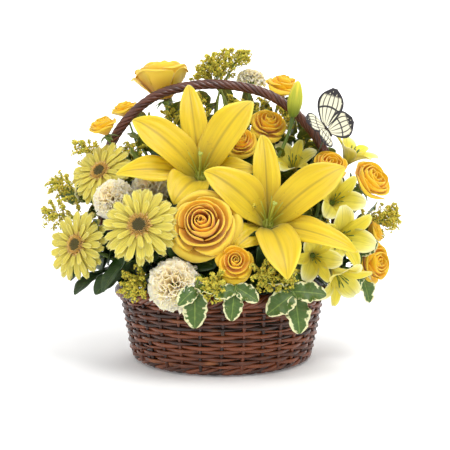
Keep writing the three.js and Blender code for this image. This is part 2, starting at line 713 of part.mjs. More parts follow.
// ---------------------------------------------------------------- leaves
// A leaf along `way` with its face towards `up`; a wavy margin rises and falls row by row.
function leaf(foot, way, up, { length, halfWidth, wave, droop }) {
  const ahead = toVec(way).normalize();
  const side = ahead.clone().cross(toVec(up)).normalize();
  const face = side.clone().cross(ahead);
  return blade((s, t) => {
    const w = halfWidth * (0.12 + 0.88 * Math.sin(Math.PI * Math.min(t, 0.98) ** 0.9) ** 0.85) * (t > 0.99 ? 0.15 : 1);
    const lift = -droop * length * t * t + wave * s * s * Math.sin(Math.PI * 4 * t + (s > 0 ? 0 : Math.PI));
    return toVec(foot).addScaledVector(ahead, length * t * (1 - 0.35 * droop * t))
      .addScaledVector(side, s * w).addScaledVector(face, lift);
  }, 4, 2, 1);
}

// A leafy stem.  Leaves that would cross what already stands there are left off.
function leafySprig({ route, entry, leaves, kind }, radius) {
  const path = new THREE.CatmullRomCurve3(route.map(toVec), false, 'centripetal');
  const away = route[0].map((v, i) => v - route[1][i]);
  const line = [...path.getPoints(2), ...stemRoute(path.getPoint(1), away, entry, 2).slice(1)];
  const parts = [plantedStem(line, radius, 3)];
  leaves.forEach(([u, way, up, share = 1]) => {
    const sized = { ...kind, length: kind.length * share, halfWidth: kind.halfWidth * share };
    const blades = leaf(path.getPointAt(u), way, up, sized);
    if (isClear(blades)) parts.push(blades);
  });
  return fuse(parts);
}

const PITTOSPORUM = { length: 33, halfWidth: 11, wave: 1.2, droop: 0.15 };
const SALAL = { length: 42, halfWidth: 14, wave: 0.3, droop: 0.2 };

const SPRIGS = [
  { name: 'pittosporum_front_left', entry: [259, 'side'], kind: PITTOSPORUM,
    route: [[-24, -129, 88], [-22, -122, 95], [-20, -112, 98]],
    leaves: [[0, [0, -0.25, -1], [0, -1, 0.2]], [0.2, [-0.6, -0.5, -0.5], [0, -1, 0.5], 0.7],
      [0.3, [0.7, -0.6, -0.1], [0, -0.5, 1], 0.6]] },
  { name: 'pittosporum_front', entry: [284, 'side'], kind: PITTOSPORUM,
    route: [[12, -130, 88], [14, -122, 94], [16, -110, 97]],
    leaves: [[0, [-0.1, -0.3, -0.8], [0, -1, 0.2], 0.8], [0.2, [-0.8, -0.5, -0.2], [0, -0.8, 0.5], 0.66],
      [0.3, [0.8, -0.5, -0.4], [0, -0.8, 0.5], 0.75]] },
  { name: 'pittosporum_right', entry: [302, 'side'], kind: PITTOSPORUM,
    route: [[68, -116, 82], [62, -108, 92], [54, -96, 98]],
    leaves: [[0, [0.15, -0.25, -0.9], [0.3, -1, 0.2], 1.05], [0.1, [-0.7, -0.5, -0.4], [0, -1, 0.5]],
      [0.2, [0.9, -0.2, 0], [0.3, -0.8, 0.5], 0.95], [0.5, [0.9, 0.1, 0.3], [0.3, -0.8, 0.5], 0.8],
      [0.6, [-0.6, -0.7, 0.2], [0, -0.6, 0.8], 0.8]] },
  { name: 'pittosporum_far_right', entry: [344, 'side'], kind: PITTOSPORUM,
    route: [[146, -36, 96], [136, -34, 99], [120, -30, 101]],
    leaves: [[0, [0.3, -0.3, -0.8], [0.6, -0.8, 0.2]], [0.3, [-0.2, -0.7, -0.6], [0.3, -1, 0.4], 0.9],
      [0.5, [0.8, 0.3, -0.3], [0.5, -0.3, 0.8], 0.9]] },
  { name: 'pittosporum_back', entry: [84, 'side'], kind: PITTOSPORUM,
    route: [[14, 132, 92], [13, 122, 98], [11, 110, 100]],
    leaves: [[0, [0, 0.3, -0.9], [0, 1, 0.2]], [0.2, [0.8, 0.5, -0.3], [0, 0.8, 0.6]],
      [0.3, [-0.8, 0.4, -0.4], [0, 0.8, 0.6], 0.9]] },
  { name: 'salal_left', entry: [197, 'side'], kind: SALAL,
    route: [[-124, -40, 97], [-114, -36, 99], [-104, -32, 99]],
    leaves: [[0, [-0.6, -0.6, -0.3], [-0.5, -0.5, 0.7]], [0.5, [-0.9, 0.2, -0.2], [-0.3, -0.1, 1], 0.9],
      [0.7, [-0.2, -0.9, -0.35], [-0.2, -0.6, 0.8], 0.8]] },
  { name: 'salal_front_left', entry: [213, 'side'], kind: SALAL,
    route: [[-106, -66, 97], [-98, -62, 99], [-90, -57, 99]],
    leaves: [[0, [-0.5, -0.7, -0.35], [-0.3, -0.8, 0.5], 0.8], [0.6, [0.1, -0.9, -0.3], [0, -0.6, 0.8], 0.7]] },
];

// ---------------------------------------------------------------- butterfly on its pick
// Four wings spread from a slender body that a wire carries above the flowers.
const BUTTERFLY = {
  at: [112, -22, 248], head: [-0.62, -0.2, 0.76], near: [0.74, 0.1, 0.66], far: [-0.5, -0.8, -0.34],
  fore: [42, 14], hind: [31, 14], entry: [344, 'crown'],
};

function butterfly() {
  const { at, head, near, far, fore, hind, entry } = BUTTERFLY;
  const up = toVec(head).normalize();
  const parts = [moved(turned([[0, -11], [1.6, -8], [1.9, 0], [1.6, 7], [0, 10]], 5), at, head)];
  for (const [spread, size] of [[near, 1], [far, 0.78]]) {
    for (const [lean, [length, halfWidth], shift] of [[0.7, fore, 3], [-0.3, hind, -3]]) {
      const way = toVec(spread).normalize().addScaledVector(up, lean).normalize();
      const side = up.clone().addScaledVector(way, -up.dot(way)).normalize();
      parts.push(blade((s, t) => {
        const w = size * halfWidth * (0.12 + 0.88 * Math.sin(Math.PI * Math.min(t, 0.9) ** 1.35) ** 0.62) * (t > 0.99 ? 0.45 : 1);
        return toVec(at).addScaledVector(up, shift).addScaledVector(way, size * length * t).addScaledVector(side, s * w);
      }, 3, 2, 1));
    }
  }
  parts.push(plantedStem(stemRoute(at, [0.2, 0, 1], entry), 0.9, 4));
  return fuse(parts);
}

// ---------------------------------------------------------------- assembly
addMesh('basket_wall', basketWall(), COLOUR.willow);
addMesh('basket_rim', basketRim(), COLOUR.willow);
addMesh('basket_base', geometryOf(basketBase()), COLOUR.willow);
addMesh('basket_handle', basketHandle(), COLOUR.willow);
addMesh('liner', geometryOf(liner()), COLOUR.plastic);

for (const { name, at, face, entry, petals } of LILIES) {
  addMesh(`lily_${name}`, geometryOf(lilyBloom(petals)), COLOUR.lily, at, facing(face));
  const foot = toVec(at).addScaledVector(toVec(face).normalize(), -SEAT);
  addMesh(`lily_${name}_stem`, geometryOf(plantedStem(stemRoute(foot, face, entry), 3, 5, [2.2])), COLOUR.green);
}

{
  const { at, face, entry, sunk } = LILY_BUD;
  const foot = toVec(at).addScaledVector(toVec(face).normalize(), sunk);
  const bud = moved(lilyBud(), at, face);
  addMesh('lily_bud', geometryOf(bud.add(plantedStem(stemRoute(foot, face, entry), 2))), COLOUR.lily);
}

const roseGeometry = geometryOf(roseBloom());
for (const { name, at, face, entry } of ROSES) {
  addMesh(`rose_${name}`, roseGeometry, COLOUR.rose, at, facing(face));
  addMesh(`rose_${name}_stem`, geometryOf(roseGreens(at, face, entry)), COLOUR.green);
}

const gerberaGeometry = geometryOf(gerberaBloom());
for (const { name, at, face, entry } of GERBERAS) {
  addMesh(`gerbera_${name}`, gerberaGeometry, COLOUR.gerbera, at, facing(face));
  addMesh(`gerbera_${name}_stem`, geometryOf(gerberaGreens(at, face, entry)), COLOUR.green);
}

const carnation = carnationHead();
for (const { name, at, face, size, entry } of CARNATIONS) {
  const bloom = { blooms: [[at, face, size]], entry };
  addMesh(`carnation_${name}`, geometryOf(sprayOf(carnation, bloom, 2, 19)), COLOUR.cream);
}

const sprayRose = sprayRoseHead();
for (const spray of SPRAY_ROSES) {
  addMesh(`spray_rose_${spray.name}`, geometryOf(sprayOf(sprayRose, spray, 1.8, 6)), COLOUR.rose);
}

const alstroemeria = alstroemeriaHead();
for (const spray of ALSTROEMERIAS) {
  addMesh(`alstroemeria_${spray.name}`, geometryOf(sprayOf(alstroemeria, spray, 2, 4)), COLOUR.alstroemeria);
}

addMesh('butterfly_pick', geometryOf(butterfly()), COLOUR.wing);

for (const sprig of SPRIGS) {
  const mat = sprig.kind === SALAL ? COLOUR.darkLeaf : COLOUR.variegated;
  addMesh(sprig.name, geometryOf(leafySprig(sprig, 1.6)), mat);
}

GOLDENROD.forEach((spray, k) => {
  addMesh(`goldenrod_${spray.name}`, geometryOf(plume(spray, 11 + k)), COLOUR.goldenrod);
});

addMesh('floral_foam', geometryOf(drills.reduce((block, drill) => block.subtract(drill), foamBlock())), COLOUR.foam);

export default arrangement;
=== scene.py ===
"""A flower basket arrangement: a round willow basket with a twisted arch handle, filled with
yellow and cream flowers whose stems stand in floral foam.  Shapes are worked out in
millimetres, +Z up, with the front towards -Y, and `add_piece` turns them into metres."""
import math

import bpy
import numpy as np
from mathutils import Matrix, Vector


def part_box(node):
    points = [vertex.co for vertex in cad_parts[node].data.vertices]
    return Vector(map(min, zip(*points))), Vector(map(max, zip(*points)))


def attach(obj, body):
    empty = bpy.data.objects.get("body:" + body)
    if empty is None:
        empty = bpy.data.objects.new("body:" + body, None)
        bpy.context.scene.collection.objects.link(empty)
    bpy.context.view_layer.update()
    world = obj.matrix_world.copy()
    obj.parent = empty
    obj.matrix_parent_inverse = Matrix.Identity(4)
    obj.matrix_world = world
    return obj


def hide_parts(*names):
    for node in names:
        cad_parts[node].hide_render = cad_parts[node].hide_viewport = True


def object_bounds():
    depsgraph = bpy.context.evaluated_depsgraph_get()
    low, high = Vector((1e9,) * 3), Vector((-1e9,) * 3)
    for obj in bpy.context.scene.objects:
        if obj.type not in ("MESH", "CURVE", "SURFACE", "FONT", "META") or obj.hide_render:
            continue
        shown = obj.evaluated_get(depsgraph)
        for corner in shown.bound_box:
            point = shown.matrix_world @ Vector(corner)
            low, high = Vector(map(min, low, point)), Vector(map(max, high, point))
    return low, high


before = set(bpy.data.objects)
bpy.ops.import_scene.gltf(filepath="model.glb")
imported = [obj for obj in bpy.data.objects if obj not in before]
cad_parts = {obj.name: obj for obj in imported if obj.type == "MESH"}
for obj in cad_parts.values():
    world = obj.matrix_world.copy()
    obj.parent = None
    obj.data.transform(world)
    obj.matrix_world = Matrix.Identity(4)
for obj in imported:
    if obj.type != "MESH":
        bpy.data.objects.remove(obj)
cad_box = [list(corner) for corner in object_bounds()]

MM = 0.001
GOLDEN_ANGLE = math.radians(137.508)


# ------------------------------------------------------------------ woven wall
# The wall of the basket: upright willow stakes with brown stained rods woven in front of one
# stake and behind the next, over two rows of twisted rods that turn up from the base.
BASE_RADIUS, BODY_RADIUS, SLOPE, ROUND_HEIGHT, WALL_TOP = 92.0, 101.0, 0.19, 12.0, 68.0
STAKES, STAKE_RADIUS, STAKE_DEPTH = 32, 1.9, 2.7
WEAVE_FOOT, WEAVE_ROWS, ROD_HALF_HEIGHT, ROD_HALF_DEPTH, WEAVE_SWING = 8.6, 16, 1.98, 1.45, 1.9


def unit(vectors):
    """Each vector divided by its own length."""
    vectors = np.asarray(vectors, float)
    return vectors / np.maximum(np.linalg.norm(vectors, axis=-1, keepdims=True), 1e-12)


def part(points, quads, tris, lay, paint=0):
    """A stretch of mesh: points, four- and three-sided faces, and at each point its lay, which
    is its place across and along the surface and the tone of its petal, leaf or rod."""
    return {"points": points, "quads": quads, "tris": tris, "lay": lay, "paint": paint}


def grid_quads(index):
    """The quads between neighbouring lines of a grid of point numbers."""
    corners = (index[:-1, :-1], index[:-1, 1:], index[1:, 1:], index[1:, :-1])
    return np.stack([corner.ravel() for corner in corners], axis=1)


def ringed(rings, poles, turn, along, tone, paint):
    """A closed skin over a row of rings: quads from ring to ring, and a fan of triangles from
    each pole over the ring next to it."""
    rows, sides = rings.shape[:2]
    count = rows * sides
    index = np.arange(count).reshape(rows, sides)
    ring, after = np.arange(sides), np.roll(np.arange(sides), -1)
    start = np.stack([np.full(sides, count), after, ring], axis=1)
    end = np.stack([np.full(sides, count + 1), count - sides + ring, count - sides + after], axis=1)
    lay = np.stack([np.tile(np.cos(turn), rows), np.repeat(along, sides), np.full(count, tone)], axis=1)
    return part(np.concatenate([rings.reshape(-1, 3), poles]),
                grid_quads(np.column_stack([index, index[:, 0]])), np.concatenate([start, end]),
                np.concatenate([lay, [[0, along[0], tone], [0, along[-1], tone]]]), paint)


def distances(path):
    """How far along the path each of its points lies."""
    return np.concatenate([[0], np.cumsum(np.linalg.norm(np.diff(path, axis=0), axis=1))])


def tube(path, radius, sides=8, tone=0.5, paint=0, oval=1.0, axis=None):
    """A round rod: rings of `sides` points at `radius` round each point of the path, stretched
    by `oval` towards `axis`.  An axis that isn't given is found from the path: the direction it
    has least of, after a small shift that settles it for a straight path."""
    path = np.asarray(path, float)
    ahead = unit(np.gradient(path, axis=0))
    if axis is None:
        axis = np.linalg.svd(ahead - 1e-3)[2][2]
    side = unit(np.cross(ahead, axis))
    up = np.cross(ahead, side)
    turn = np.linspace(0, 2 * np.pi, sides, endpoint=False)
    reach = np.broadcast_to(np.asarray(radius, float), len(path))[:, None, None]
    rings = path[:, None] + reach * (np.cos(turn)[:, None] * side[:, None]
                                     + oval * np.sin(turn)[:, None] * up[:, None])
    return ringed(rings, path[[0, -1]], turn, distances(path) / 100, tone, paint)


def add_piece(name, parts, materials, slot, *nodes):
    """One object of several parts: their points one after the other and their faces
    renumbered, with a material for each paint number."""
    first = np.cumsum([0] + [len(p["points"]) for p in parts])[:-1]
    points = np.concatenate([p["points"] for p in parts]) * MM
    quads = np.concatenate([p["quads"] + k for p, k in zip(parts, first)])
    tris = np.concatenate([p["tris"] + k for p, k in zip(parts, first)])
    paints = [np.full(len(p[kind]), p["paint"]) for kind in ("quads", "tris") for p in parts]
    sizes = np.concatenate([np.full(len(quads), 4), np.full(len(tris), 3)])
    mesh = bpy.data.meshes.new(name)
    mesh.vertices.add(len(points))
    mesh.vertices.foreach_set("co", points.astype(np.float32).ravel())
    mesh.loops.add(int(sizes.sum()))
    corners = np.concatenate([quads.ravel(), tris.ravel()])
    mesh.loops.foreach_set("vertex_index", corners.astype(np.int32))
    mesh.polygons.add(len(sizes))
    mesh.polygons.foreach_set("loop_start", (np.cumsum(sizes) - sizes).astype(np.int32))
    mesh.polygons.foreach_set("loop_total", sizes.astype(np.int32))
    mesh.polygons.foreach_set("material_index", np.concatenate(paints).astype(np.int32))
    mesh.update(calc_edges=True)
    mesh.shade_smooth()
    lay = mesh.attributes.new("lay", "FLOAT_VECTOR", "POINT")
    lay.data.foreach_set("vector", np.concatenate([p["lay"] for p in parts]).astype(np.float32).ravel())
    for material in materials:
        mesh.materials.append(material)
    piece = bpy.data.objects.new(name, mesh)
    bpy.context.scene.collection.objects.link(piece)
    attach(piece, "root")
    if nodes:
        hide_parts(*nodes)
    return piece


def linear(red, green, blue):
    """A colour given in 0 to 255 display values as the linear values that shaders use."""
    share = np.array([red, green, blue]) / 255
    low, high = share / 12.92, ((share + 0.055) / 1.055) ** 2.4
    return (*np.where(share <= 0.04045, low, high).tolist(), 1.0)


def add_node(tree, kind, inputs, **settings):
    """A shader node; each input is a plain value or the output socket that feeds it."""
    node = tree.nodes.new(kind)
    for key, value in settings.items():
        setattr(node, key, value)
    for key, value in inputs.items():
        if isinstance(value, bpy.types.NodeSocket):
            tree.links.new(value, node.inputs[key])
        else:
            node.inputs[key].default_value = value
    return node


def math_node(tree, operation, *values):
    """The result of one Math node."""
    return add_node(tree, "ShaderNodeMath", dict(enumerate(values)), operation=operation).outputs[0]


def blend_colour(tree, share, low, high, mode="MIX"):
    """The colour between low and high at a share."""
    inputs = {0: share, 6: low, 7: high}
    return add_node(tree, "ShaderNodeMix", inputs, data_type="RGBA", blend_type=mode).outputs[2]


def ease(tree, value, start, end):
    """A value's smooth way from 0 at `start` to 1 at `end`."""
    inputs = {"Value": value, "From Min": start, "From Max": end}
    return add_node(tree, "ShaderNodeMapRange", inputs, interpolation_type="SMOOTHSTEP").outputs[0]


def fade(tree, value, start, end):
    """A value's smooth way from 1 at `start` to 0 at `end`."""
    return math_node(tree, "SUBTRACT", 1.0, ease(tree, value, start, end))


def times(tree, one, other):
    """The product of two values."""
    return math_node(tree, "MULTIPLY", one, other)


def new_group(name, colours, values=()):
    """A node group whose inputs are named colours and values, and which puts out a colour and a
    height: its tree, its inputs by name, and its output node."""
    tree = bpy.data.node_groups.new(name, "ShaderNodeTree")
    sockets = [(label, "INPUT", "Color") for label in colours]
    sockets += [(label, "INPUT", "Float") for label in values]
    sockets += [("Color", "OUTPUT", "Color"), ("Height", "OUTPUT", "Float")]
    for label, way, kind in sockets:
        tree.interface.new_socket(label, in_out=way, socket_type="NodeSocket" + kind)
    return tree, tree.nodes.new("NodeGroupInput").outputs, tree.nodes.new("NodeGroupOutput")


def lay_of(tree):
    """The lay of the surface: its place across, its place along, and its tone."""
    attribute = add_node(tree, "ShaderNodeAttribute", {}, attribute_name="lay")
    return add_node(tree, "ShaderNodeSeparateXYZ", {0: attribute.outputs["Vector"]}).outputs


def streaks(tree, across, along, tone, fine, long):
    """Noise as fine as is given across and along the surface, another for each tone."""
    place = {0: times(tree, across, fine), 1: times(tree, along, long), 2: times(tree, tone, 37.0)}
    vector = add_node(tree, "ShaderNodeCombineXYZ", place).outputs[0]
    return add_node(tree, "ShaderNodeTexNoise", {"Vector": vector, "Scale": 1.0, "Detail": 3.0}).outputs[0]


def finish_group(tree, output, colour, height):
    """Feeds a group's two results."""
    tree.links.new(colour, output.inputs["Color"])
    tree.links.new(height, output.inputs["Height"])


def willow_grain():
    """Stained rods: each rod has its own depth of stain, with streaks along it and worn spots."""
    tree, given, output = new_group("willow_grain", ["Dark", "Light", "Worn"])
    across, along, tone = lay_of(tree)
    grain = streaks(tree, across, along, tone, 2.5, 9.0)
    patch = streaks(tree, 0.0, along, tone, 1.0, 2.2)
    share = math_node(tree, "ADD", times(tree, grain, 0.75), times(tree, tone, 0.5))
    stained = blend_colour(tree, ease(tree, share, 0.3, 0.95), given["Dark"], given["Light"])
    colour = blend_colour(tree, ease(tree, patch, 0.62, 0.8), stained, given["Worn"])
    finish_group(tree, output, colour, grain)
    return tree


WILLOW_GRAIN = willow_grain()


def grouped_material(name, group, given, roughness, bump, **shader):
    """A material whose colour and relief come from a node group; other shader values are plain."""
    material = bpy.data.materials.new(name)
    material.use_nodes = True
    tree = material.node_tree
    principled = tree.nodes["Principled BSDF"]
    source = add_node(tree, "ShaderNodeGroup", {}, node_tree=group)
    for key, value in given.items():
        source.inputs[key].default_value = value
    relief = add_node(tree, "ShaderNodeBump", {
        "Strength": bump[0], "Distance": bump[1] * MM, "Height": source.outputs["Height"]})
    tree.links.new(source.outputs["Color"], principled.inputs["Base Color"])
    tree.links.new(relief.outputs["Normal"], principled.inputs["Normal"])
    principled.inputs["Roughness"].default_value = roughness
    for key, value in shader.items():
        principled.inputs[key.replace("_", " ")].default_value = value
    return material


WILLOW = grouped_material(
    "willow", WILLOW_GRAIN,
    {"Dark": linear(42, 18, 7), "Light": linear(128, 64, 28), "Worn": linear(172, 104, 54)},
    0.38, (0.4, 0.3), Coat_Weight=0.18, Coat_Roughness=0.25)


def wall_radius(height):
    """The wall's outside: a quarter of an oval from the base's edge, then a straight slope."""
    rise = np.minimum(height / ROUND_HEIGHT, 1)
    bend = (BODY_RADIUS - BASE_RADIUS) * np.sqrt(1 - (1 - rise) ** 2)
    return BASE_RADIUS + bend + SLOPE * np.maximum(height - ROUND_HEIGHT, 0)


def around(angle, radius, height, side=0):
    """Points round the middle at each angle, radius and height, moved aside by `side`."""
    x = radius * np.cos(angle) - side * np.sin(angle)
    y = radius * np.sin(angle) + side * np.cos(angle)
    return np.stack(np.broadcast_arrays(x, y, height), axis=-1)


def waver(angle, random, size):
    """A slow closed wobble: three sines of random phase."""
    phases = random.uniform(0, 2 * np.pi, 3)
    return size * sum(np.sin(n * angle + p) / n for n, p in zip((3, 5, 8), phases))


def rope_strands(middle, strands, turns, offset, thick, steps, sides=8):
    """Rods twisted round a ring: each circles the ring's middle (radius, height) at `offset`,
    turning `turns` times on its way round."""
    angle = np.linspace(0, 2 * np.pi, steps) + np.pi / 2
    parts = []
    for k in range(strands):
        twist = turns * angle + 2 * np.pi * k / strands
        radius = middle[0] + offset[0] * np.cos(twist)
        height = middle[1] + offset[1] * np.sin(twist)
        parts.append(tube(around(angle, radius, height), thick, sides, tone=(k + 0.5) / strands))
    return parts


def woven_wall():
    """Rows of rods whose radius swings in and out past every stake, half a wave on from row to
    row.  Each row is three rods with thin tips that overlap; two twisted rings lie under them."""
    random = np.random.default_rng(4)
    parts = []
    for row in range(WEAVE_ROWS):
        height = WEAVE_FOOT + (WALL_TOP - WEAVE_FOOT) * (row + 0.5) / WEAVE_ROWS
        first = 2 * np.pi * (random.integers(0, STAKES) + 0.5) / STAKES
        for rod in range(3):
            angle = first + rod * 2 * np.pi / 3 + np.linspace(-0.1, 2 * np.pi / 3 + 0.1, 150)
            swing = WEAVE_SWING * np.cos(STAKES / 2 * angle + np.pi * row)
            radius = wall_radius(height) - 2.4 + swing + waver(angle, random, 0.12)
            thick = ROD_HALF_DEPTH * (1 + waver(angle, random, 0.07))
            tip = np.clip(np.minimum(angle - angle[0], angle[-1] - angle) / 0.3, 0.45, 1)
            path = around(angle, radius, height + waver(angle, random, 0.3))
            parts.append(tube(path, thick * tip, 8, random.uniform(), 0,
                              ROD_HALF_HEIGHT / ROD_HALF_DEPTH, axis=(0, 0, 1)))
    for k in range(STAKES):
        height = np.linspace(3.5, WALL_TOP + 1.5, 16)
        angle = 2 * np.pi * (k + 0.06 * np.sin(height / 20 + k)) / STAKES
        path = around(angle, wall_radius(height) - STAKE_DEPTH, height)
        parts.append(tube(path, STAKE_RADIUS, 8, random.uniform()))
    for middle in ((90.4, 3.8), (95.8, 6.2)):
        parts += rope_strands(middle, 3, 16, (1.8, 1.8), 1.85, 500)
    return parts


add_piece("woven_wall", woven_wall(), [WILLOW], "willow", "basket_wall")

# ------------------------------------------------------------------ braided border
# The border that closes the wall: the stakes' ends bent down and laid over each other in a
# thick rope all round the top.
BORDER_MIDDLE = (111.5, 74.85)
BORDER_ROPE = rope_strands(BORDER_MIDDLE, 6, 13, (4.1, 4.2), 2.45, 700)
BORDER_CORE = rope_strands(BORDER_MIDDLE, 1, 0, (0, 0), 2.6, 200)
add_piece("braided_border", BORDER_ROPE + BORDER_CORE, [WILLOW], "willow", "basket_rim")

# ------------------------------------------------------------------ woven base
# The base: two bundles of sticks crossed in the middle, opened out into spokes, with thin rods
# woven round them.  It carries the basket on its flat underside.
BASE_OUTER, BASE_MIDDLE, BASE_ROD, SPOKES = 85.0, 3.0, 1.55, 16


def woven_base():
    """Rings of rod that swing up and down past every spoke, half a wave on from ring to ring."""
    random = np.random.default_rng(9)
    parts = []
    rings = np.arange(15, BASE_OUTER - 1.2, 2 * BASE_ROD + 0.35)
    for row, radius in enumerate(rings):
        angle = np.linspace(0, 2 * np.pi, 16 + 3 * int(radius)) + row
        height = BASE_MIDDLE + 1.35 * np.cos(SPOKES / 2 * angle + np.pi * row)
        parts.append(tube(around(angle, radius, height), BASE_ROD, 8, random.uniform()))
    for k in range(SPOKES // 2):
        angle = 2 * np.pi * k / SPOKES
        reach = np.linspace(-BASE_OUTER + 1.5, BASE_OUTER - 1.5, 12)
        parts.append(tube(around(angle, reach, BASE_MIDDLE), 1.5, 8, random.uniform()))
    for k in range(5):
        for turn in (0, np.pi / 2):
            stick = around(turn, np.linspace(-16, 16, 5), 4.1 if turn else 1.9, (k - 2) * 3.2)
            parts.append(tube(stick, 1.6, 8, random.uniform()))
    return parts


add_piece("woven_base", woven_base(), [WILLOW], "willow", "basket_base")

# ------------------------------------------------------------------ arch handle
# The handle: six thin willow rods twisted round a core rod and bent to an arch, with both ends
# pushed down inside the wall.
HANDLE_ROUTE = [(90, 16), (93, 34), (97.2, 60), (99.2, 84), (113, 106), (127, 138), (131, 174),
                (126, 209), (112, 241), (88, 270), (62, 288), (32, 297)]
HANDLE_TOP, HANDLE_LEAN, HANDLE_SPRING = 300.0, 10.0, 84.0
HANDLE_STRANDS, HANDLE_OFFSET, HANDLE_ROD, HANDLE_TURNS = 6, 3.3, 2.15, 17


def smooth_curve(points, count):
    """A centripetal Catmull-Rom curve through the points, at `count` even parameters: between
    two points it blends the four nearest, with knots a square root of distance apart."""
    points = np.asarray(points, float)
    points = np.concatenate([[2 * points[0] - points[1]], points, [2 * points[-1] - points[-2]]])
    gaps = np.sqrt(np.linalg.norm(np.diff(points, axis=0), axis=1))
    place = np.linspace(0, len(points) - 3, count)
    piece = np.minimum(place.astype(int), len(points) - 4)
    share = (place - piece)[:, None]
    p0, p1, p2, p3 = (points[piece + n] for n in range(4))
    g0, g1, g2 = (gaps[piece + n][:, None] for n in range(3))
    slope1 = ((p1 - p0) / g0 - (p2 - p0) / (g0 + g1) + (p2 - p1) / g1) * g1
    slope2 = ((p2 - p1) / g1 - (p3 - p1) / (g1 + g2) + (p3 - p2) / g2) * g1
    lift = 2 * p1 - 2 * p2 + slope1 + slope2
    bend = -3 * p1 + 3 * p2 - 2 * slope1 - slope2
    return ((lift * share + bend) * share + slope1) * share + p1


def evenly(path, count):
    """The same path with its points at even distances."""
    reach = distances(path)
    spots = np.linspace(0, reach[-1], count)
    return np.stack([np.interp(spots, reach, path[:, n]) for n in range(3)], axis=1)


def handle_line(count):
    """The arch's middle line: the half route mirrored, leaning left as it rises."""
    half = np.array(HANDLE_ROUTE, float)
    lean = -HANDLE_LEAN * np.maximum((half[:, 1] - HANDLE_SPRING) / (HANDLE_TOP - HANDLE_SPRING), 0)
    left = np.stack([lean - half[:, 0], 0 * lean, half[:, 1]], axis=1)
    right = np.stack([lean + half[:, 0], 0 * lean, half[:, 1]], axis=1)[::-1]
    route = np.concatenate([left, [[-HANDLE_LEAN, 0, HANDLE_TOP]], right])
    return evenly(smooth_curve(route, 800), count)


def arch_handle():
    """Rods that circle the arch's middle line as they follow it."""
    line = handle_line(420)
    ahead = unit(np.gradient(line, axis=0))
    side = np.array([0.0, 1.0, 0.0])
    up = np.cross(ahead, side)
    share = np.linspace(0, 1, len(line))
    random = np.random.default_rng(2)
    parts = [tube(line, 1.6, 6, 0.2, axis=side)]
    for k in range(HANDLE_STRANDS):
        twist = 2 * np.pi * (HANDLE_TURNS * share + k / HANDLE_STRANDS) + waver(6 * share, random, 0.15)
        path = line + HANDLE_OFFSET * (np.cos(twist)[:, None] * side + np.sin(twist)[:, None] * up)
        parts.append(tube(path, HANDLE_ROD * (1 + waver(20 * share, random, 0.04)), 8, random.uniform()))
    return parts


HANDLE_WILLOW = grouped_material(
    "handle_willow", WILLOW_GRAIN,
    {"Dark": linear(60, 28, 18), "Light": linear(110, 58, 36), "Worn": linear(158, 108, 80)},
    0.3, (0.35, 0.3), Coat_Weight=0.4, Coat_Roughness=0.2)
add_piece("arch_handle", arch_handle(), [HANDLE_WILLOW], "willow", "basket_handle")


# ------------------------------------------------------------------ liner
# A thin dark green pan pressed from plastic, which keeps the willow dry.  It stands on the base
# inside the wall, and its lip is rolled.
def turned(profile, sides, tone=0.5, paint=0):
    """A closed turned wall: the profile of (radius, height) pairs carried round the middle,
    with its first and last points, which are near the axis, closed by a fan."""
    profile = np.asarray(profile, float)
    angle = np.linspace(0, 2 * np.pi, sides, endpoint=False)
    poles = [[0, 0, profile[0, 1]], [0, 0, profile[-1, 1]]]
    rings = around(angle, profile[:, :1], profile[:, 1:])
    return ringed(rings, poles, angle, np.linspace(0, 1, len(profile)), tone, paint)


def mottle_group():
    """Two colours in soft patches of a given size, with the same patches as relief."""
    tree, given, output = new_group("mottle", ["Low", "High"], ["Scale"])
    place = add_node(tree, "ShaderNodeTexCoord", {}).outputs["Object"]
    noise = add_node(tree, "ShaderNodeTexNoise", {"Vector": place, "Scale": given["Scale"], "Detail": 5.0})
    colour = blend_colour(tree, ease(tree, noise.outputs[0], 0.35, 0.65), given["Low"], given["High"])
    finish_group(tree, output, colour, noise.outputs[0])
    return tree


MOTTLE = mottle_group()
LINER_PLASTIC = grouped_material(
    "liner_plastic", MOTTLE, {"Low": linear(30, 48, 34), "High": linear(44, 66, 48), "Scale": 260.0},
    0.45, (0.2, 0.1))
LINER_PROFILE = [(0.5, 6.6), (76, 6.6), (79, 7.2), (80.2, 9), (84, 45), (86.2, 78), (86.9, 79.3), (86.4, 80),
                 (85.5, 79.8), (84.9, 78), (82.4, 45), (78.6, 9.4), (77.6, 8.4), (75, 8.2), (0.5, 8.2)]
add_piece("liner_pan", [turned(LINER_PROFILE, 96)], [LINER_PLASTIC], "liner_plastic", "liner")


# ------------------------------------------------------------------ floral foam
# A block of wet green foam that holds every stem.  It fills the pan and is shaved to a dome
# above it, with a crumbly cut skin.
def foam_block():
    """A turned block whose skin is pushed in and out by small sines of place."""
    profile = [(0.5, 9), (40, 9), (77.5, 9), (79, 30), (82, 60), (84, 77), (84, 90), (84, 99), (81.5, 102.5),
               (76, 107.5), (70, 112.6), (64, 117.2), (60, 118), (50, 118.2), (35, 118), (20, 118.3),
               (0.5, 118)]
    fine = np.concatenate([np.linspace(a, b, 6, endpoint=False) for a, b in zip(profile, profile[1:])])
    block = turned(fine, 160)
    x, y, z = block["points"].T
    crumble = 0.35 * (np.sin(1.9 * x + 0.7 * z) + np.sin(2.3 * y - z) + np.sin(1.7 * z + 1.1 * x))
    block["points"] = block["points"] + unit(block["points"] - [0, 0, 60]) * (crumble * (z > 12))[:, None]
    return [block]


FOAM = grouped_material(
    "floral_foam", MOTTLE, {"Low": linear(24, 46, 22), "High": linear(52, 84, 40), "Scale": 900.0},
    0.95, (0.8, 0.6))
add_piece("foam_block", foam_block(), [FOAM], "floral_foam", "floral_foam")

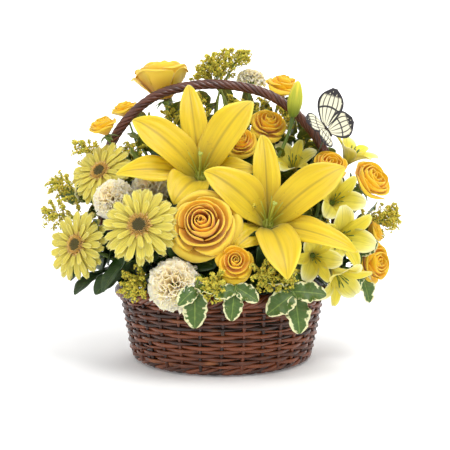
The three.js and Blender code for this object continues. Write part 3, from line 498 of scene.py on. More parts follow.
# ------------------------------------------------------------------ stems
# Cut green stems, each bent from its bloom to a plain hole in the foam.
SKIN = {"side": (84, 95), "shoulder": (70, 112.6), "crown": (40, 118), "heart": (20, 118)}
CUT_END = {"side": (62, 90), "shoulder": (50, 80), "crown": (34, 80), "heart": (17, 80)}
MOUTH_HEIGHT = 3.0


def stem_path(foot, face, entry, count=18):
    """A cubic curve that leaves the foot along the bloom's axis and meets the line of its hole,
    then the straight stretch to the cut end."""
    azimuth = math.radians(entry[0])
    skin, end = around(azimuth, *SKIN[entry[1]]), around(azimuth, *CUT_END[entry[1]])
    out = unit(skin - end)
    foot, mouth = np.asarray(foot, float), skin + MOUTH_HEIGHT * out
    pull = 0.35 * np.linalg.norm(mouth - foot)
    near, far = foot - pull * unit(face), mouth + pull * out
    t = np.linspace(0, 1, count)[:, None]
    curve = ((1 - t) ** 3 * foot + 3 * (1 - t) ** 2 * t * near
             + 3 * (1 - t) * t ** 2 * far + t ** 3 * mouth)
    return np.concatenate([curve, [end]])


def stem(foot, face, entry, thick, flare=1.0, paint=0, tone=0.5):
    """A stem that widens to `flare` times its radius just under the bloom."""
    path = stem_path(foot, face, entry)
    share = np.linspace(0, 1, len(path))
    return tube(path, thick * (1 + (flare - 1) * np.exp(-(share / 0.06) ** 2)), 10, tone, paint)


def green_group():
    """Living green: two greens in streaks along the piece."""
    tree, given, output = new_group("green", ["Low", "High"])
    across, along, tone = lay_of(tree)
    grain = streaks(tree, across, along, tone, 3.0, 6.0)
    colour = blend_colour(tree, ease(tree, grain, 0.3, 0.7), given["Low"], given["High"])
    finish_group(tree, output, colour, grain)
    return tree


GREEN_STREAKS = green_group()
STEM_GREEN = grouped_material(
    "stem_green", GREEN_STREAKS, {"Low": linear(70, 96, 38), "High": linear(122, 146, 62)}, 0.5, (0.3, 0.2))

# ------------------------------------------------------------------ lilies
# Open lilies: three broad and three narrow satin petals round a green throat, with the pistil
# standing in it.  The florist has pulled the pollen off, so the filaments are bare.
LILY_LENGTH, LILY_HALF_WIDTH = 97.0, {"wide": 20.0, "narrow": 13.5}
LILY_START, LILY_FINISH = {"wide": 20, "narrow": 34}, 98
LILIES = [
    ("upper", (-22, -46, 190), (0, -0.87, 0.5), (250, "crown"),
     [(98, "narrow", 1.08), (148, "wide", 1), (191, "narrow", 0.95), (242, "wide", 0.63),
      (355, "narrow", 0.66), (50, "wide", 1.05)]),
    ("front", (45, -70, 142), (0.05, -0.87, 0.5), (297, "shoulder"),
     [(96, "narrow", 1), (32, "wide", 1.05), (332, "narrow", 1.02), (280, "wide", 0.95),
      (152, "wide", 0.93), (228, "narrow", 0.55)]),
    ("back", (-10, 62, 190), (-0.1, 0.87, 0.5), (95, "crown"),
     [(90, "narrow", 1), (150, "wide", 1), (210, "narrow", 1), (270, "wide", 0.95),
      (330, "narrow", 1), (30, "wide", 1)]),
]


def blade_grid(rows, cols):
    """Places across (-1 to 1) and along (0 to 1) a blade, with narrow cells at its border."""
    across = np.concatenate([[-1], np.linspace(-0.965, 0.965, cols - 1), [1]])
    along = np.concatenate([[0], np.linspace(0.012, 0.985, rows - 1), [1]])
    return np.meshgrid(across, along)


def blade(points, thick, across, along, tone=0.5, paint=0):
    """A thin closed blade: the grid of middle points moved half the thickness along the surface
    normal to either side, with the grid's border shared by both sides."""
    rows, cols = across.shape
    normal = unit(np.cross(np.gradient(points, axis=1), np.gradient(points, axis=0)))
    inside = np.zeros((rows, cols, 1))
    inside[1:-1, 1:-1] = thick / 2
    over = np.arange(rows * cols).reshape(rows, cols)
    under = over.copy()
    under[1:-1, 1:-1] = rows * cols + np.arange((rows - 2) * (cols - 2)).reshape(rows - 2, cols - 2)
    lay = np.stack([across, along, np.full_like(across, tone)], axis=2)
    both = (np.concatenate([a.reshape(-1, 3), b[1:-1, 1:-1].reshape(-1, 3)])
            for a, b in ((points + inside * normal, points - inside * normal), (lay, lay)))
    quads = np.concatenate([grid_quads(over), grid_quads(under)[:, ::-1]])
    return part(next(both), quads, np.zeros((0, 3), int), next(both), paint)


def facing(face):
    """The turn that carries +Z to `face` the shortest way."""
    x, y, z = unit(face)
    skew = np.array([[0, 0, x], [0, 0, y], [-x, -y, 0]])
    return np.eye(3) + skew + skew @ skew / (1 + z)


def placed(parts, at, face, size=1.0):
    """The parts with +Z turned to `face` and their foot moved to `at`."""
    turn = facing(face)
    return [{**p, "points": size * p["points"] @ turn.T + np.asarray(at, float)} for p in parts]


def lily_petal(angle, kind, share, random):
    """A petal that bends from LILY_START to LILY_FINISH degrees off the axis at an even rate,
    broadest past its middle, with a groove along it, a wavy margin and a pinched tip."""
    s, t = blade_grid(34, 24)
    length, half = LILY_LENGTH * share, LILY_HALF_WIDTH[kind]
    start = math.radians(LILY_START[kind])
    bend = math.radians(LILY_FINISH) - start
    tilt = start + bend * t
    swell = np.sin(np.pi * np.minimum(t, 1) ** 1.1) ** 0.85
    width = half * (0.14 * (1 - t ** 6) + 0.86 * swell + 0.01)
    cup = 0.3 * width * s ** 2 * (1 - 0.7 * t)
    phase = random.uniform(0, 6)
    wave = 2.8 * s ** 2 * np.sin(np.pi * t) * np.sin(11 * t + phase + 1.9 * np.sign(s))
    groove = -1.6 * np.exp(-(s / 0.13) ** 2) * np.sin(np.pi * t ** 0.7) * (1 - 0.5 * t)
    ridges = 0.35 * np.cos(16 * s) * np.sin(np.pi * t) + random.uniform(-0.2, 0.2) * s * width * t
    rise = cup + wave + groove + ridges - 144 * np.maximum(t - 0.86, 0) ** 2
    radius = 3 + length * (np.cos(start) - np.cos(tilt)) / bend - rise * np.cos(tilt)
    height = 6 + length * (np.sin(tilt) - np.sin(start)) / bend + rise * np.sin(tilt)
    points = around(math.radians(angle), radius, height, s * width)
    return blade(points, 1.0, s, t, random.uniform())


def lily_head(petals, random):
    """The petals, a green throat, the pistil with its three-lobed tip, and six filaments."""
    parts = [lily_petal(*petal, random) for petal in petals]
    throat = [(0.3, 0), (3.6, 0.5), (5.2, 4), (6.4, 9), (5.4, 13), (3, 15.5), (0.3, 16)]
    parts.append(turned(throat, 18, 0.5, 1))
    parts.append(tube(np.linspace((0, 0, 12), (1.5, -1, 52), 12), np.linspace(1.5, 1.1, 12), 8, 0.5, 1))
    for k in range(3):
        lobe = around(2 * np.pi * k / 3, np.array([0, 0.9, 2.1]), np.array([51, 53.6, 54.6]))
        parts.append(tube(lobe + [1.5, -1, 0], [1.2, 1.6, 1.1], 8, 0.5, 1))
    t = np.linspace(0, 1, 10)
    for k in range(6):
        filament = around(math.radians(30 + 60 * k), 3 + 9 * t ** 1.6, 12 + 33 * t)
        parts.append(tube(filament, np.linspace(0.8, 0.35, 10), 6, 0.5, 1))
    return parts


FRECKLE_BROWN = (0.16, 0.05, 0.01, 1)


def cell_distance(tree, across, along, tone, fine, long):
    """How far the surface lies from the middle of the nearest of many scattered cells."""
    place = {0: times(tree, across, fine), 1: times(tree, along, long), 2: tone}
    vector = add_node(tree, "ShaderNodeCombineXYZ", place).outputs[0]
    return add_node(tree, "ShaderNodeTexVoronoi", {"Vector": vector, "Scale": 1.0}).outputs["Distance"]


def petal_group():
    """A petal's colour: root, body and lip along it, a margin of the lip's colour, fine
    lengthwise veins, painted shade along the middle groove, and freckles near its root."""
    tree, given, output = new_group(
        "petal", ["Root", "Body", "Lip"],
        ["Root End", "Lip Start", "Veins", "Groove Shade", "Freckles", "Tone"])
    across, along, tone = lay_of(tree)
    vein = streaks(tree, across, along, tone, 9.0, 1.6)
    patch = streaks(tree, across, along, tone, 1.3, 2.0)
    colour = blend_colour(tree, ease(tree, along, 0.0, given["Root End"]), given["Root"], given["Body"])
    far = math_node(tree, "ABSOLUTE", across)
    edge = times(tree, math_node(tree, "POWER", far, 4.0), 0.35)
    lip = ease(tree, math_node(tree, "ADD", along, edge), given["Lip Start"], 1.12)
    colour = blend_colour(tree, lip, colour, given["Lip"])
    shade = math_node(tree, "MULTIPLY_ADD", math_node(tree, "SUBTRACT", vein, 0.5), given["Veins"], 1.0)
    shade = math_node(tree, "MULTIPLY_ADD", math_node(tree, "SUBTRACT", patch, 0.5), given["Tone"], shade)
    # Painted shade: the colour is darkened along the petal's middle groove, where shade falls.
    groove = times(tree, fade(tree, far, 0.0, 0.13), given["Groove Shade"])
    shade = math_node(tree, "SUBTRACT", shade, groove)
    grey = add_node(tree, "ShaderNodeCombineColor", {0: shade, 1: shade, 2: shade}).outputs[0]
    colour = blend_colour(tree, 1.0, colour, grey, "MULTIPLY")
    spots = fade(tree, cell_distance(tree, across, along, tone, 5.0, 22.0), 0.1, 0.22)
    freckles = times(tree, times(tree, spots, fade(tree, along, 0.25, 0.5)), given["Freckles"])
    colour = blend_colour(tree, freckles, colour, FRECKLE_BROWN)
    finish_group(tree, output, colour, vein)
    return tree


PETAL = petal_group()


# The groove argument sets how strongly painted shade darkens the petal's middle groove.
def petal_material(name, root, body, lip, root_end, lip_start, veins, groove=0.0, freckles=0.0,
                   tone=0.35, roughness=0.55, sheen=0.15):
    """A petal finish with light passing a little way through it."""
    given = {"Root": linear(*root), "Body": linear(*body), "Lip": linear(*lip), "Root End": root_end,
             "Lip Start": lip_start, "Veins": veins, "Groove Shade": groove, "Freckles": freckles, "Tone": tone}
    return grouped_material(
        name, PETAL, given, roughness, (0.25, 0.25), Sheen_Weight=sheen,
        Subsurface_Weight=0.35, Subsurface_Scale=0.005, Subsurface_Radius=(1.0, 0.7, 0.15))


LILY_PETAL = petal_material("lily_petal", (148, 134, 22), (220, 186, 2), (234, 208, 56), 0.5, 0.88,
                            0.5, 0.32, 0.5, 0.45, 0.5)
LILY_THROAT = grouped_material(
    "lily_throat", GREEN_STREAKS, {"Low": linear(140, 158, 50), "High": linear(190, 196, 90)},
    0.45, (0.2, 0.2))
random_lily = np.random.default_rng(21)
SEAT = 0.7
for name, at, face, entry, petals in LILIES:
    add_piece(f"lily_{name}_head", placed(lily_head(petals, random_lily), at, face),
              [LILY_PETAL, LILY_THROAT], "lily_petal", f"lily_{name}")
    foot = np.array(at) - SEAT * unit(face)
    add_piece(f"lily_{name}_stalk", [stem(foot, face, entry, 2.9, 0.9)], [STEM_GREEN], "stem_green",
              f"lily_{name}_stem")

# The closed bud: six petals pressed together, with a rib along each, on its own stem.
BUD_AT, BUD_FACE, BUD_ENTRY = (77, -8, 262), (0.12, -0.3, 0.95), (20, "heart")
BUD_LENGTH, BUD_RADIUS = 40.0, 8.5


def lily_bud():
    """A turned spindle whose radius swells six times round it, most at its middle."""
    shares = [(0.04, 0), (0.45, 0.04), (0.72, 0.14), (0.93, 0.3), (1, 0.45), (0.93, 0.6), (0.76, 0.75),
              (0.5, 0.89), (0.28, 0.97), (0.04, 1)]
    bud = turned([(BUD_RADIUS * r, BUD_LENGTH * z) for r, z in shares], 48)
    x, y, z = bud["points"].T
    ribbed = 1 + 0.07 * np.abs(np.sin(3 * np.arctan2(y, x) + 0.01 * z)) ** 0.7 - 0.05
    bud["points"] = bud["points"] * np.stack([ribbed, ribbed, np.ones_like(z)], axis=1)
    bud["lay"][:, 0] = np.sin(3 * np.arctan2(y, x))
    bud["lay"][:, 1] = z / BUD_LENGTH
    return placed([bud], BUD_AT, BUD_FACE)


LILY_BUD = petal_material("lily_bud", (122, 148, 40), (190, 196, 48), (226, 210, 60), 0.5, 0.7, 0.3, 0.25)
BUD_STEM = stem(np.array(BUD_AT) + 2 * unit(BUD_FACE), BUD_FACE, BUD_ENTRY, 2.0, 1.2, 1)
add_piece("lily_bud_head", lily_bud() + [BUD_STEM], [LILY_BUD, STEM_GREEN], "lily_petal", "lily_bud")

# ------------------------------------------------------------------ roses
# Full garden roses: a coiled heart, a round cup of petals over it, and loose outer petals with
# lips that roll back, on a stem with five bent sepals.
ROSES = [
    ("front", (-16, -87, 140), (-0.05, -0.94, 0.32), (262, "shoulder"), 1.0),
    ("top", (-65, 33, 287), (-0.15, -0.1, 0.98), (154, "crown"), 0.3),
    ("back", (34, 84, 158), (0.12, 0.92, 0.3), (64, "shoulder"), 0.9),
]
ROSE_REACH, ROSE_HEIGHT, ROSE_PETALS = 32.0, 43.0, 23
LAYERS = [0.0, 0.34, 0.5, 0.74, 1.0]
LIP_RADIUS, LIP_HEIGHT = [0.04, 0.26, 0.4, 0.74, 1.0], [0.95, 0.99, 0.96, 0.74, 0.42]
CLOSED_RADIUS, CLOSED_HEIGHT = [0.06, 0.5, 0.62, 0.78, 0.92], [0.96, 0.97, 0.98, 0.96, 0.86]
HALF_SPAN = [115, 92, 78, 74, 72]
LIP_ROLL, BELLY = [0, 0.02, 0.07, 0.14, 0.2], [0.02, 0.11, 0.15, 0.12, 0.04]


def rose_head(reach, height, count, openness, random, rows=12, cols=14):
    """Petals a golden angle apart from the heart out.  Each rises from the foot with a belly,
    reaches its lip's radius and height, which are read off by layer, and rolls back there; its
    sides are lower and one lies outside the next."""
    s, t = blade_grid(rows, cols)
    parts = []
    for k in range(count):
        layer = k / (count - 1)
        lip = reach * ((1 - openness) * np.interp(layer, LAYERS, CLOSED_RADIUS)
                       + openness * np.interp(layer, LAYERS, LIP_RADIUS))
        top = height * ((1 - openness) * np.interp(layer, LAYERS, CLOSED_HEIGHT)
                        + openness * np.interp(layer, LAYERS, LIP_HEIGHT)) * random.uniform(0.97, 1.03)
        span = math.radians(np.interp(layer, LAYERS, HALF_SPAN)) * random.uniform(0.92, 1.08)
        roll = reach * np.interp(layer, LAYERS, LIP_ROLL) * (0.4 + 0.6 * openness)
        belly = reach * (np.interp(layer, LAYERS, BELLY) + 0.12 * (1 - openness) * layer)
        foot = reach * (0.1 + 0.1 * layer)
        along = t * (1 - 0.26 * np.abs(s) ** 3.5 * layer ** 0.5)
        over = np.maximum(along - 0.72, 0) / 0.28
        radius = foot + (lip - foot) * np.sin(np.pi / 2 * along) + belly * np.sin(np.pi * along ** 0.9)
        radius = radius * (1 + 0.08 * s) + roll * over ** 2
        lean = random.normal(0, 0.02) * t
        fold = 0.04 * np.sin(3.5 * s + random.uniform(0, 6)) * t ** 3
        radius = radius * (1 + lean + fold)
        drop = (0.1 + 0.06 * layer) * top * np.abs(s) ** 2.4 * t ** 2
        ripple = (0.02 + 0.05 * layer) * reach * np.sin(5 * s + random.uniform(0, 6)) * t ** 4
        rise = top * (1 - (1 - along) ** 1.7) - drop - roll * over ** 3 * (0.5 + layer) + ripple
        spread = span * (0.76 + 0.24 * np.sin(np.pi / 2 * t) - 0.1 * t ** 5)
        a = GOLDEN_ANGLE * k + random.normal(0, 0.12) + s * spread
        slip = t[..., None] * [*(reach * random.normal(0, 0.022, 2)), 0]
        parts.append(blade(around(a, radius, 2 + rise) + slip, 0.02 * reach, s, t, layer))
    return parts


def rose_material(name, heart, body, lip, pale):
    """A rose finish: the colour goes from heart to outer petals with the petal's layer, and each
    lip is paler."""
    material = petal_material(name, heart, body, lip, 0.8, 0.9, 0.14, 0.0, 0.0, 0.2, 0.6, 0.3)
    tree = material.node_tree
    principled = tree.nodes["Principled BSDF"]
    own = principled.inputs["Base Color"].links[0].from_socket
    _, along, layer = lay_of(tree)
    paler = times(tree, ease(tree, layer, 0.2, 0.85), ease(tree, along, -0.4, 0.8))
    tree.links.new(blend_colour(tree, paler, own, linear(*pale)), principled.inputs["Base Color"])
    return material


def sepals(count, length, half_width, random, paint):
    """Narrow green leaves that spread from under the bloom and bend back to their points."""
    s, t = blade_grid(8, 4)
    parts = []
    for k in range(count):
        a = 2 * np.pi * k / count + random.normal(0, 0.1)
        width = half_width * (1 - t) ** 0.8 + 0.15
        rise = -0.5 - 0.45 * length * t ** 1.8 + 0.3 * width * s ** 2
        points = around(a, 2.6 + 0.95 * length * t, rise, s * width)
        parts.append(blade(points, 0.5, s, t, random.uniform(), paint))
    return parts


ROSE_PETAL = rose_material("rose_petal", (255, 158, 10), (255, 184, 20), (255, 214, 84), (254, 210, 62))
random_rose = np.random.default_rng(7)
for name, at, face, entry, openness in ROSES:
    add_piece(f"rose_{name}_head",
              placed(rose_head(ROSE_REACH, ROSE_HEIGHT, ROSE_PETALS, openness, random_rose), at, face),
              [ROSE_PETAL], "rose_petal", f"rose_{name}")
    foot = np.array(at) - SEAT * unit(face)
    hip = turned([(0.3, -5.5), (2.6, -5), (4.6, -2.5), (4.8, -1), (0.3, -SEAT)], 16)
    greens = placed(sepals(5, 16, 3.2, random_rose, 0) + [hip], at, face) + [stem(foot, face, entry, 2.5)]
    add_piece(f"rose_{name}_stalk", greens, [STEM_GREEN], "stem_green", f"rose_{name}_stem")

# ------------------------------------------------------------------ gerberas
# Pale yellow gerberas: two rings of long notched rays, a short inner frill of tan florets and a
# raised olive brown disc of tiny buds, over a green scaled cup on a bare stem.
GERBERAS = [
    ("front", (-76, -112, 147), (-0.12, -0.95, 0.28), (236, "shoulder")),
    ("low", (-145, -64, 126), (-0.5, -0.84, 0.2), (204, "side")),
    ("left", (-128, -29, 201), (-0.36, -0.8, 0.46), (190, "shoulder")),
    ("back", (106, 84, 140), (0.65, 0.72, 0.25), (40, "side")),
]
RAY_RINGS = [(19, 37.0, 4.4, 0.0, -2.0), (18, 34.5, 4.1, 2.0, 1.0), (12, 24.0, 2.6, 3.6, 3.0)]
GERBERA_DISC, EYE_SHARE = 8.2, 0.68


def gerbera_ray(turn, reach, half_width, low, rise, random):
    """A strap that widens to two thirds of its length, ends in a blunt notched tip, and has two
    ridges along it; it lifts by `rise` at its tip and sags between."""
    s, t = blade_grid(12, 12)
    start = GERBERA_DISC - 1.5
    length = (reach - start) * random.uniform(0.9, 1.04)
    tip = np.sqrt(1 - np.clip((t - 0.86) / 0.15, 0, 1) ** 2)
    widen = 0.36 + 0.64 * np.sin(np.pi / 2 * np.minimum(t / 0.7, 1))
    width = half_width * random.uniform(0.85, 1.1) * widen
    notch = 0.9 * np.cos(3 * np.pi * s) * np.clip(t - 0.86, 0, 0.1) * 10
    radius = start + length * t + notch
    side = s * width * np.maximum(tip, 0.45)
    height = low + rise * t ** 2 + 1.2 * np.sin(np.pi * t) + 0.4 * np.cos(3 * np.pi * s) * (1 - t ** 3)
    height = height + random.uniform(-0.4, 1.2) * s ** 2 + random.normal(0, 1.1) * t ** 2
    side = side + random.normal(0, 1.2) * t ** 2
    return blade(around(turn, radius, height, side), 0.55, s, t, random.uniform())


def small_bud(radius, height, sides=6, rings=3):
    """A blunt bud with few faces: a dome of rings that closes at its top."""
    bend = np.linspace(0, 1, rings + 1)[:-1] * np.pi / 2
    profile = [(0.2, 0)] + [(radius * math.cos(b), height * math.sin(b)) for b in bend] + [(0.15, height)]
    return turned(profile, sides)


def scattered(pattern, origins, faces, sizes, tones, paint=0):
    """Copies of one small part, each turned to its face, scaled, moved and given its tone."""
    turns = np.stack([facing(face) for face in faces])
    count, points = len(origins), pattern["points"]
    everywhere = np.einsum("kij,nj->kni", turns, points) * np.asarray(sizes)[:, None, None] + origins[:, None]
    lay = np.repeat(pattern["lay"][None], count, axis=0)
    lay[:, :, 2] = np.asarray(tones)[:, None]
    first = (np.arange(count) * len(points))[:, None, None]
    return part(everywhere.reshape(-1, 3), (pattern["quads"][None] + first).reshape(-1, 4),
                (pattern["tris"][None] + first).reshape(-1, 3), lay.reshape(-1, 3), paint)


def gerbera_disc(random):
    """Buds a golden angle apart on a low dome, and a ring of short tan florets round them."""
    count = 150
    k = np.arange(count)
    share = np.sqrt((k + 0.5) / count)
    angle = GOLDEN_ANGLE * k
    radius = GERBERA_DISC * 1.05 * share
    origins = around(angle, radius, 3.6 + 1.6 * np.cos(2.6 * (share - 0.55)))
    faces = around(angle, 0.5 * share, 1.0)
    inner = share < EYE_SHARE
    buds = []
    for mask, size, paint in ((inner, 1.3, 1), (~inner, 2.2, 2)):
        bud = small_bud(0.62, size, 5, 2)
        buds.append(scattered(bud, origins[mask], faces[mask], np.ones(mask.sum()), share[mask], paint))
    core = turned([(0.3, -3), (7, -3), (GERBERA_DISC, 0.5), (GERBERA_DISC, 3), (6, 4.6), (3, 4.4),
                   (0.3, 4.2)], 20, 0.6, 1)
    s, t = blade_grid(5, 3)
    frill = []
    for n in range(72):
        a = 2 * np.pi * n / 36 + random.normal(0, 0.04)
        outer = n % 2
        reach = (3.4 + 1.8 * outer) * random.uniform(0.85, 1.15)
        radius = GERBERA_DISC - 0.4 + reach * t
        side = s * (0.7 + 0.4 * t) * np.sqrt(1.02 - t ** 4)
        height = 3.8 - 0.8 * outer + 3.0 * t - 1.5 * t ** 2
        frill.append(blade(around(a, radius, height, side), 0.4, s, t, random.uniform(), 2))
    return buds + [core] + frill


def gerbera_head(random):
    """The rays, ring by ring, and the disc."""
    parts = []
    for ring, (count, reach, half_width, low, rise) in enumerate(RAY_RINGS):
        for k in range(count):
            turn = 2 * np.pi * (k + 0.5 * ring) / count + random.normal(0, 0.03)
            parts.append(gerbera_ray(turn, reach, half_width, low, rise, random))
    return parts + gerbera_disc(random)


def gerbera_stalk(at, face, entry, random):
    """The stem, the green cup that it widens into, and a ring of small scales under the rays."""
    foot = np.array(at) - (5 + SEAT) * unit(face)
    cup = turned([(0.3, -6), (2.4, -5.8), (6.5, -3.6), (7.8, -1.6), (6, -1), (0.3, -1)], 18)
    greens = placed([cup] + sepals(18, 8.5, 1.2, random, 0), at - 1.2 * unit(face), face)
    return greens + [stem(foot, face, entry, 2.2, 1.4)]


GERBERA_RAY = petal_material("gerbera_ray", (184, 142, 44), (214, 194, 72), (232, 220, 124), 0.45, 0.86,
                             0.8, 0.2, 0.0, 0.6, 0.5)
GERBERA_EYE = petal_material("gerbera_eye", (78, 60, 26), (104, 92, 44), (92, 92, 44), 0.4, 0.7, 0.3)
GERBERA_FRILL = petal_material("gerbera_frill", (176, 116, 44), (216, 158, 70), (232, 190, 104),
                               0.4, 0.6, 0.3)
random_gerbera = np.random.default_rng(31)
for name, at, face, entry in GERBERAS:
    add_piece(f"gerbera_{name}_head", placed(gerbera_head(random_gerbera), at, face),
              [GERBERA_RAY, GERBERA_EYE, GERBERA_FRILL], "gerbera_ray", f"gerbera_{name}")
    add_piece(f"gerbera_{name}_stalk", gerbera_stalk(at, face, entry, random_gerbera), [STEM_GREEN],
              "stem_green", f"gerbera_{name}_stem")

# ------------------------------------------------------------------ carnations
# Cream carnations: a dense head of fringed, crumpled petals that spill from a slim green tube.
CARNATIONS = [
    ("front", (-44, -112, 92), (-0.12, -0.92, 0.25), 1, (248, "side")),
    ("left", (-108, -72, 172), (-0.45, -0.8, 0.35), 0.82, (217, "shoulder")),
    ("middle", (-74, -36, 186), (-0.25, -0.85, 0.45), 0.85, (222, "crown")),
    ("top", (34, 47, 314), (0.1, -0.1, 1), 0.68, (60, "crown")),
    ("back", (-85, 88, 178), (-0.55, 0.75, 0.35), 1, (134, "shoulder")),
]
CARNATION_REACH, CARNATION_PETALS, CUP_LENGTH = 24.5, 62, 19.0


def carnation_petal(turn, layer, random):
    """A fan with a narrow root.  It rises from the cup, tips over by its layer, and its fringe
    is toothed and crumpled up and down, more towards the edge."""
    s, t = blade_grid(9, 30)
    tilt = math.radians(8 + 84 * layer ** 0.8) + random.normal(0, 0.08)
    fan = CARNATION_REACH * (0.74 + 0.2 * layer) * random.uniform(0.92, 1.05)
    reach = fan * t * (1 + 0.1 * np.abs((7 * s + random.uniform()) % 1 - 0.5) * t ** 4)
    half = fan * (0.1 + 0.62 * t ** 0.9)
    side = half * np.sin(1.25 * s) / math.sin(1.25)
    reach = reach * np.cos(0.5 * s)
    crumple = 0.12 * fan * t ** 1.5 * np.sin((6.5 + 2 * random.uniform()) * s + random.uniform(0, 6))
    crumple = crumple + 0.05 * fan * t ** 3 * np.sin(17 * s + random.uniform(0, 6))
    bend = tilt + 0.35 * t ** 2 * layer
    out = 1.5 + reach * np.sin(bend) - crumple * np.cos(bend)
    height = reach * np.cos(bend) + crumple * np.sin(bend)
    return blade(around(turn, out, height, side), 0.4, s, t, layer)


def carnation_head(random):
    """Petals a golden angle apart, the inner ones upright, over the slim green cup."""
    parts = [carnation_petal(GOLDEN_ANGLE * k, k / (CARNATION_PETALS - 1), random)
             for k in range(CARNATION_PETALS)]
    cup = [(0.3, -CUP_LENGTH), (2.6, -18.6), (4.2, -16), (4.8, -10), (5.4, -4), (6.2, -1), (5, -0.5),
           (0.3, 1)]
    return parts + [turned(cup, 20, 0.5, 1)]


CARNATION_PETAL = rose_material("carnation_petal", (250, 216, 150), (254, 234, 184), (255, 248, 218),
                                (252, 244, 208))
random_carnation = np.random.default_rng(5)
for name, at, face, size, entry in CARNATIONS:
    head = placed(carnation_head(random_carnation), at, face, size)
    foot = np.array(at) - (CUP_LENGTH * size - 2) * unit(face)
    add_piece(f"carnation_{name}_head", head + [stem(foot, face, entry, 1.9, 1.1, 1)],
              [CARNATION_PETAL, STEM_GREEN], "carnation_petal", f"carnation_{name}")

# ------------------------------------------------------------------ spray roses
# Spray roses: small golden roses, each on a twig of one branching stem, with a green hip and
# five sepals under it.
SPRAY_ROSES = [
    ("front", (277, "side"), None, [((12, -111, 110), (0.05, -0.93, 0.35), 1.1)]),
    ("left", (172, "crown"), (-84, -4, 205),
     [((-123, -20, 241), (-0.3, -0.4, 0.85), 1), ((-108, 24, 266), (-0.3, -0.3, 0.9), 0.95)]),
    ("top", (28, "crown"), None, [((68, 42, 293), (0.25, -0.4, 0.88), 1.3)]),
    ("middle", (330, "heart"), (30, 0, 190),
     [((51, 24, 250), (0.1, -0.8, 0.6), 1.3), ((20, 4, 230), (0, -0.85, 0.5), 1.15)]),
    ("right", (349, "shoulder"), (104, -22, 168),
     [((112, -22, 200), (0.2, -0.75, 0.6), 1.15), ((150, -16, 184), (0.5, -0.7, 0.5), 1.45)]),
    ("low", (355, "side"), (130, -6, 112),
     [((154, -14, 104), (0.6, -0.75, 0.1), 1.35), ((162, 4, 134), (0.85, -0.3, 0.4), 0.85)]),
    ("back", (118, "shoulder"), (-50, 84, 140),
     [((-48, 104, 150), (-0.3, 0.9, 0.3), 1.05), ((-80, 98, 128), (-0.5, 0.8, 0.1), 0.9)]),
]
SPRAY_REACH, SPRAY_HEIGHT, SPRAY_PETALS = 15.5, 18.0, 16
SPRAY_OPENNESS = {"front": 1.0, "left": 0.5, "top": 0.85, "middle": 0.9, "right": 0.3, "low": 0.5,
                  "back": 0.9}


def twig(at, face, fork_path, neck, size, thick):
    """A twig that leaves the bloom's foot along its axis and sinks into the fork."""
    near, back = (np.array(at) - share * neck * size * unit(face) for share in (0.6, 1.6))
    sunk = 0.85 * fork_path[0] + 0.15 * fork_path[3]
    return tube(smooth_curve([near, back, sunk], 10), thick, 8, 0.5, 1)


def sprayed(blooms, fork, entry, heads, neck, thick):
    """A stem that ends in one head, or parts into a twig for each head."""
    if fork is None:
        (at, face, size), = blooms
        foot = np.array(at) - (neck * size - 2) * unit(face)
        return heads + [stem(foot, face, entry, thick, 1.1, 1)]
    path = stem_path(fork, (0, 0, 1), entry)
    return heads + [tube(path, thick, 10, 0.5, 1)] + [
        twig(at, face, path, neck, size, thick * 0.75) for at, face, size in blooms]


SPRAY_PETAL = rose_material("spray_rose_petal", (255, 158, 6), (255, 194, 12), (255, 218, 72), (255, 202, 26))
random_spray = np.random.default_rng(13)
for name, entry, fork, blooms in SPRAY_ROSES:
    heads = []
    for at, face, size in blooms:
        hip = turned([(0.3, -6), (2, -5.6), (3.4, -3.6), (3.8, -1), (2.6, 1.5), (0.3, 2)], 14, 0.5, 1)
        head = rose_head(SPRAY_REACH, SPRAY_HEIGHT, SPRAY_PETALS, SPRAY_OPENNESS[name], random_spray, 9, 12)
        heads += placed(head + [hip] + sepals(5, 9, 2, random_spray, 1), at, face, size)
    add_piece(f"spray_rose_{name}_blooms", sprayed(blooms, fork, entry, heads, 6, 1.7),
              [SPRAY_PETAL, STEM_GREEN], "spray_rose_petal", f"spray_rose_{name}")

# ------------------------------------------------------------------ alstroemerias
# Alstroemerias: small lily-like funnels of three broad and three narrow pale yellow petals, the
# narrow ones marked with brown dashes, on branching stems.
ALSTROEMERIAS = [
    ("upper", (6, "crown"), (92, 6, 186),
     [((140, 22, 212), (0.45, -0.4, 0.8), 1), ((80, 12, 204), (-0.1, -0.7, 0.7), 0.95)]),
    ("middle", (334, "shoulder"), (96, -40, 142),
     [((116, -30, 168), (0.2, -0.9, 0.25), 1), ((118, -48, 134), (0.3, -0.9, 0.05), 1.1)]),
    ("low", (319, "side"), (80, -74, 112),
     [((109, -80, 106), (0.35, -0.6, -0.6), 1), ((88, -88, 118), (0.1, -0.9, -0.1), 0.85)]),
]


def alstroemeria_petal(k, random):
    """A petal that leaves the tube steeply and spreads: broad ones are rounded, narrow ones
    pointed, and both are pinched at the tip."""
    s, t = blade_grid(14, 9)
    broad = k % 2 == 0
    half = (11.0 if broad else 6.6) * (0.2 + 0.8 * np.sin(np.pi * np.minimum(t, 0.985) ** 1.3) ** 0.6)
    start, rate = math.radians(20), math.radians(56)
    tilt = start + rate * t
    length = 36 if broad else 37
    cup = 0.34 * half * s ** 2 + 0.9 * s ** 2 * np.sin(9 * t + random.uniform(0, 6)) * t
    radius = 3 + length * (math.cos(start) - np.cos(tilt)) / rate - cup * np.cos(tilt)
    height = 2 + length * (np.sin(tilt) - math.sin(start)) / rate + cup * np.sin(tilt)
    points = around(math.radians(60 * k) + random.normal(0, 0.05), radius, height, s * half)
    return blade(points, 0.5, s, t, random.uniform(), 0 if broad else 2)


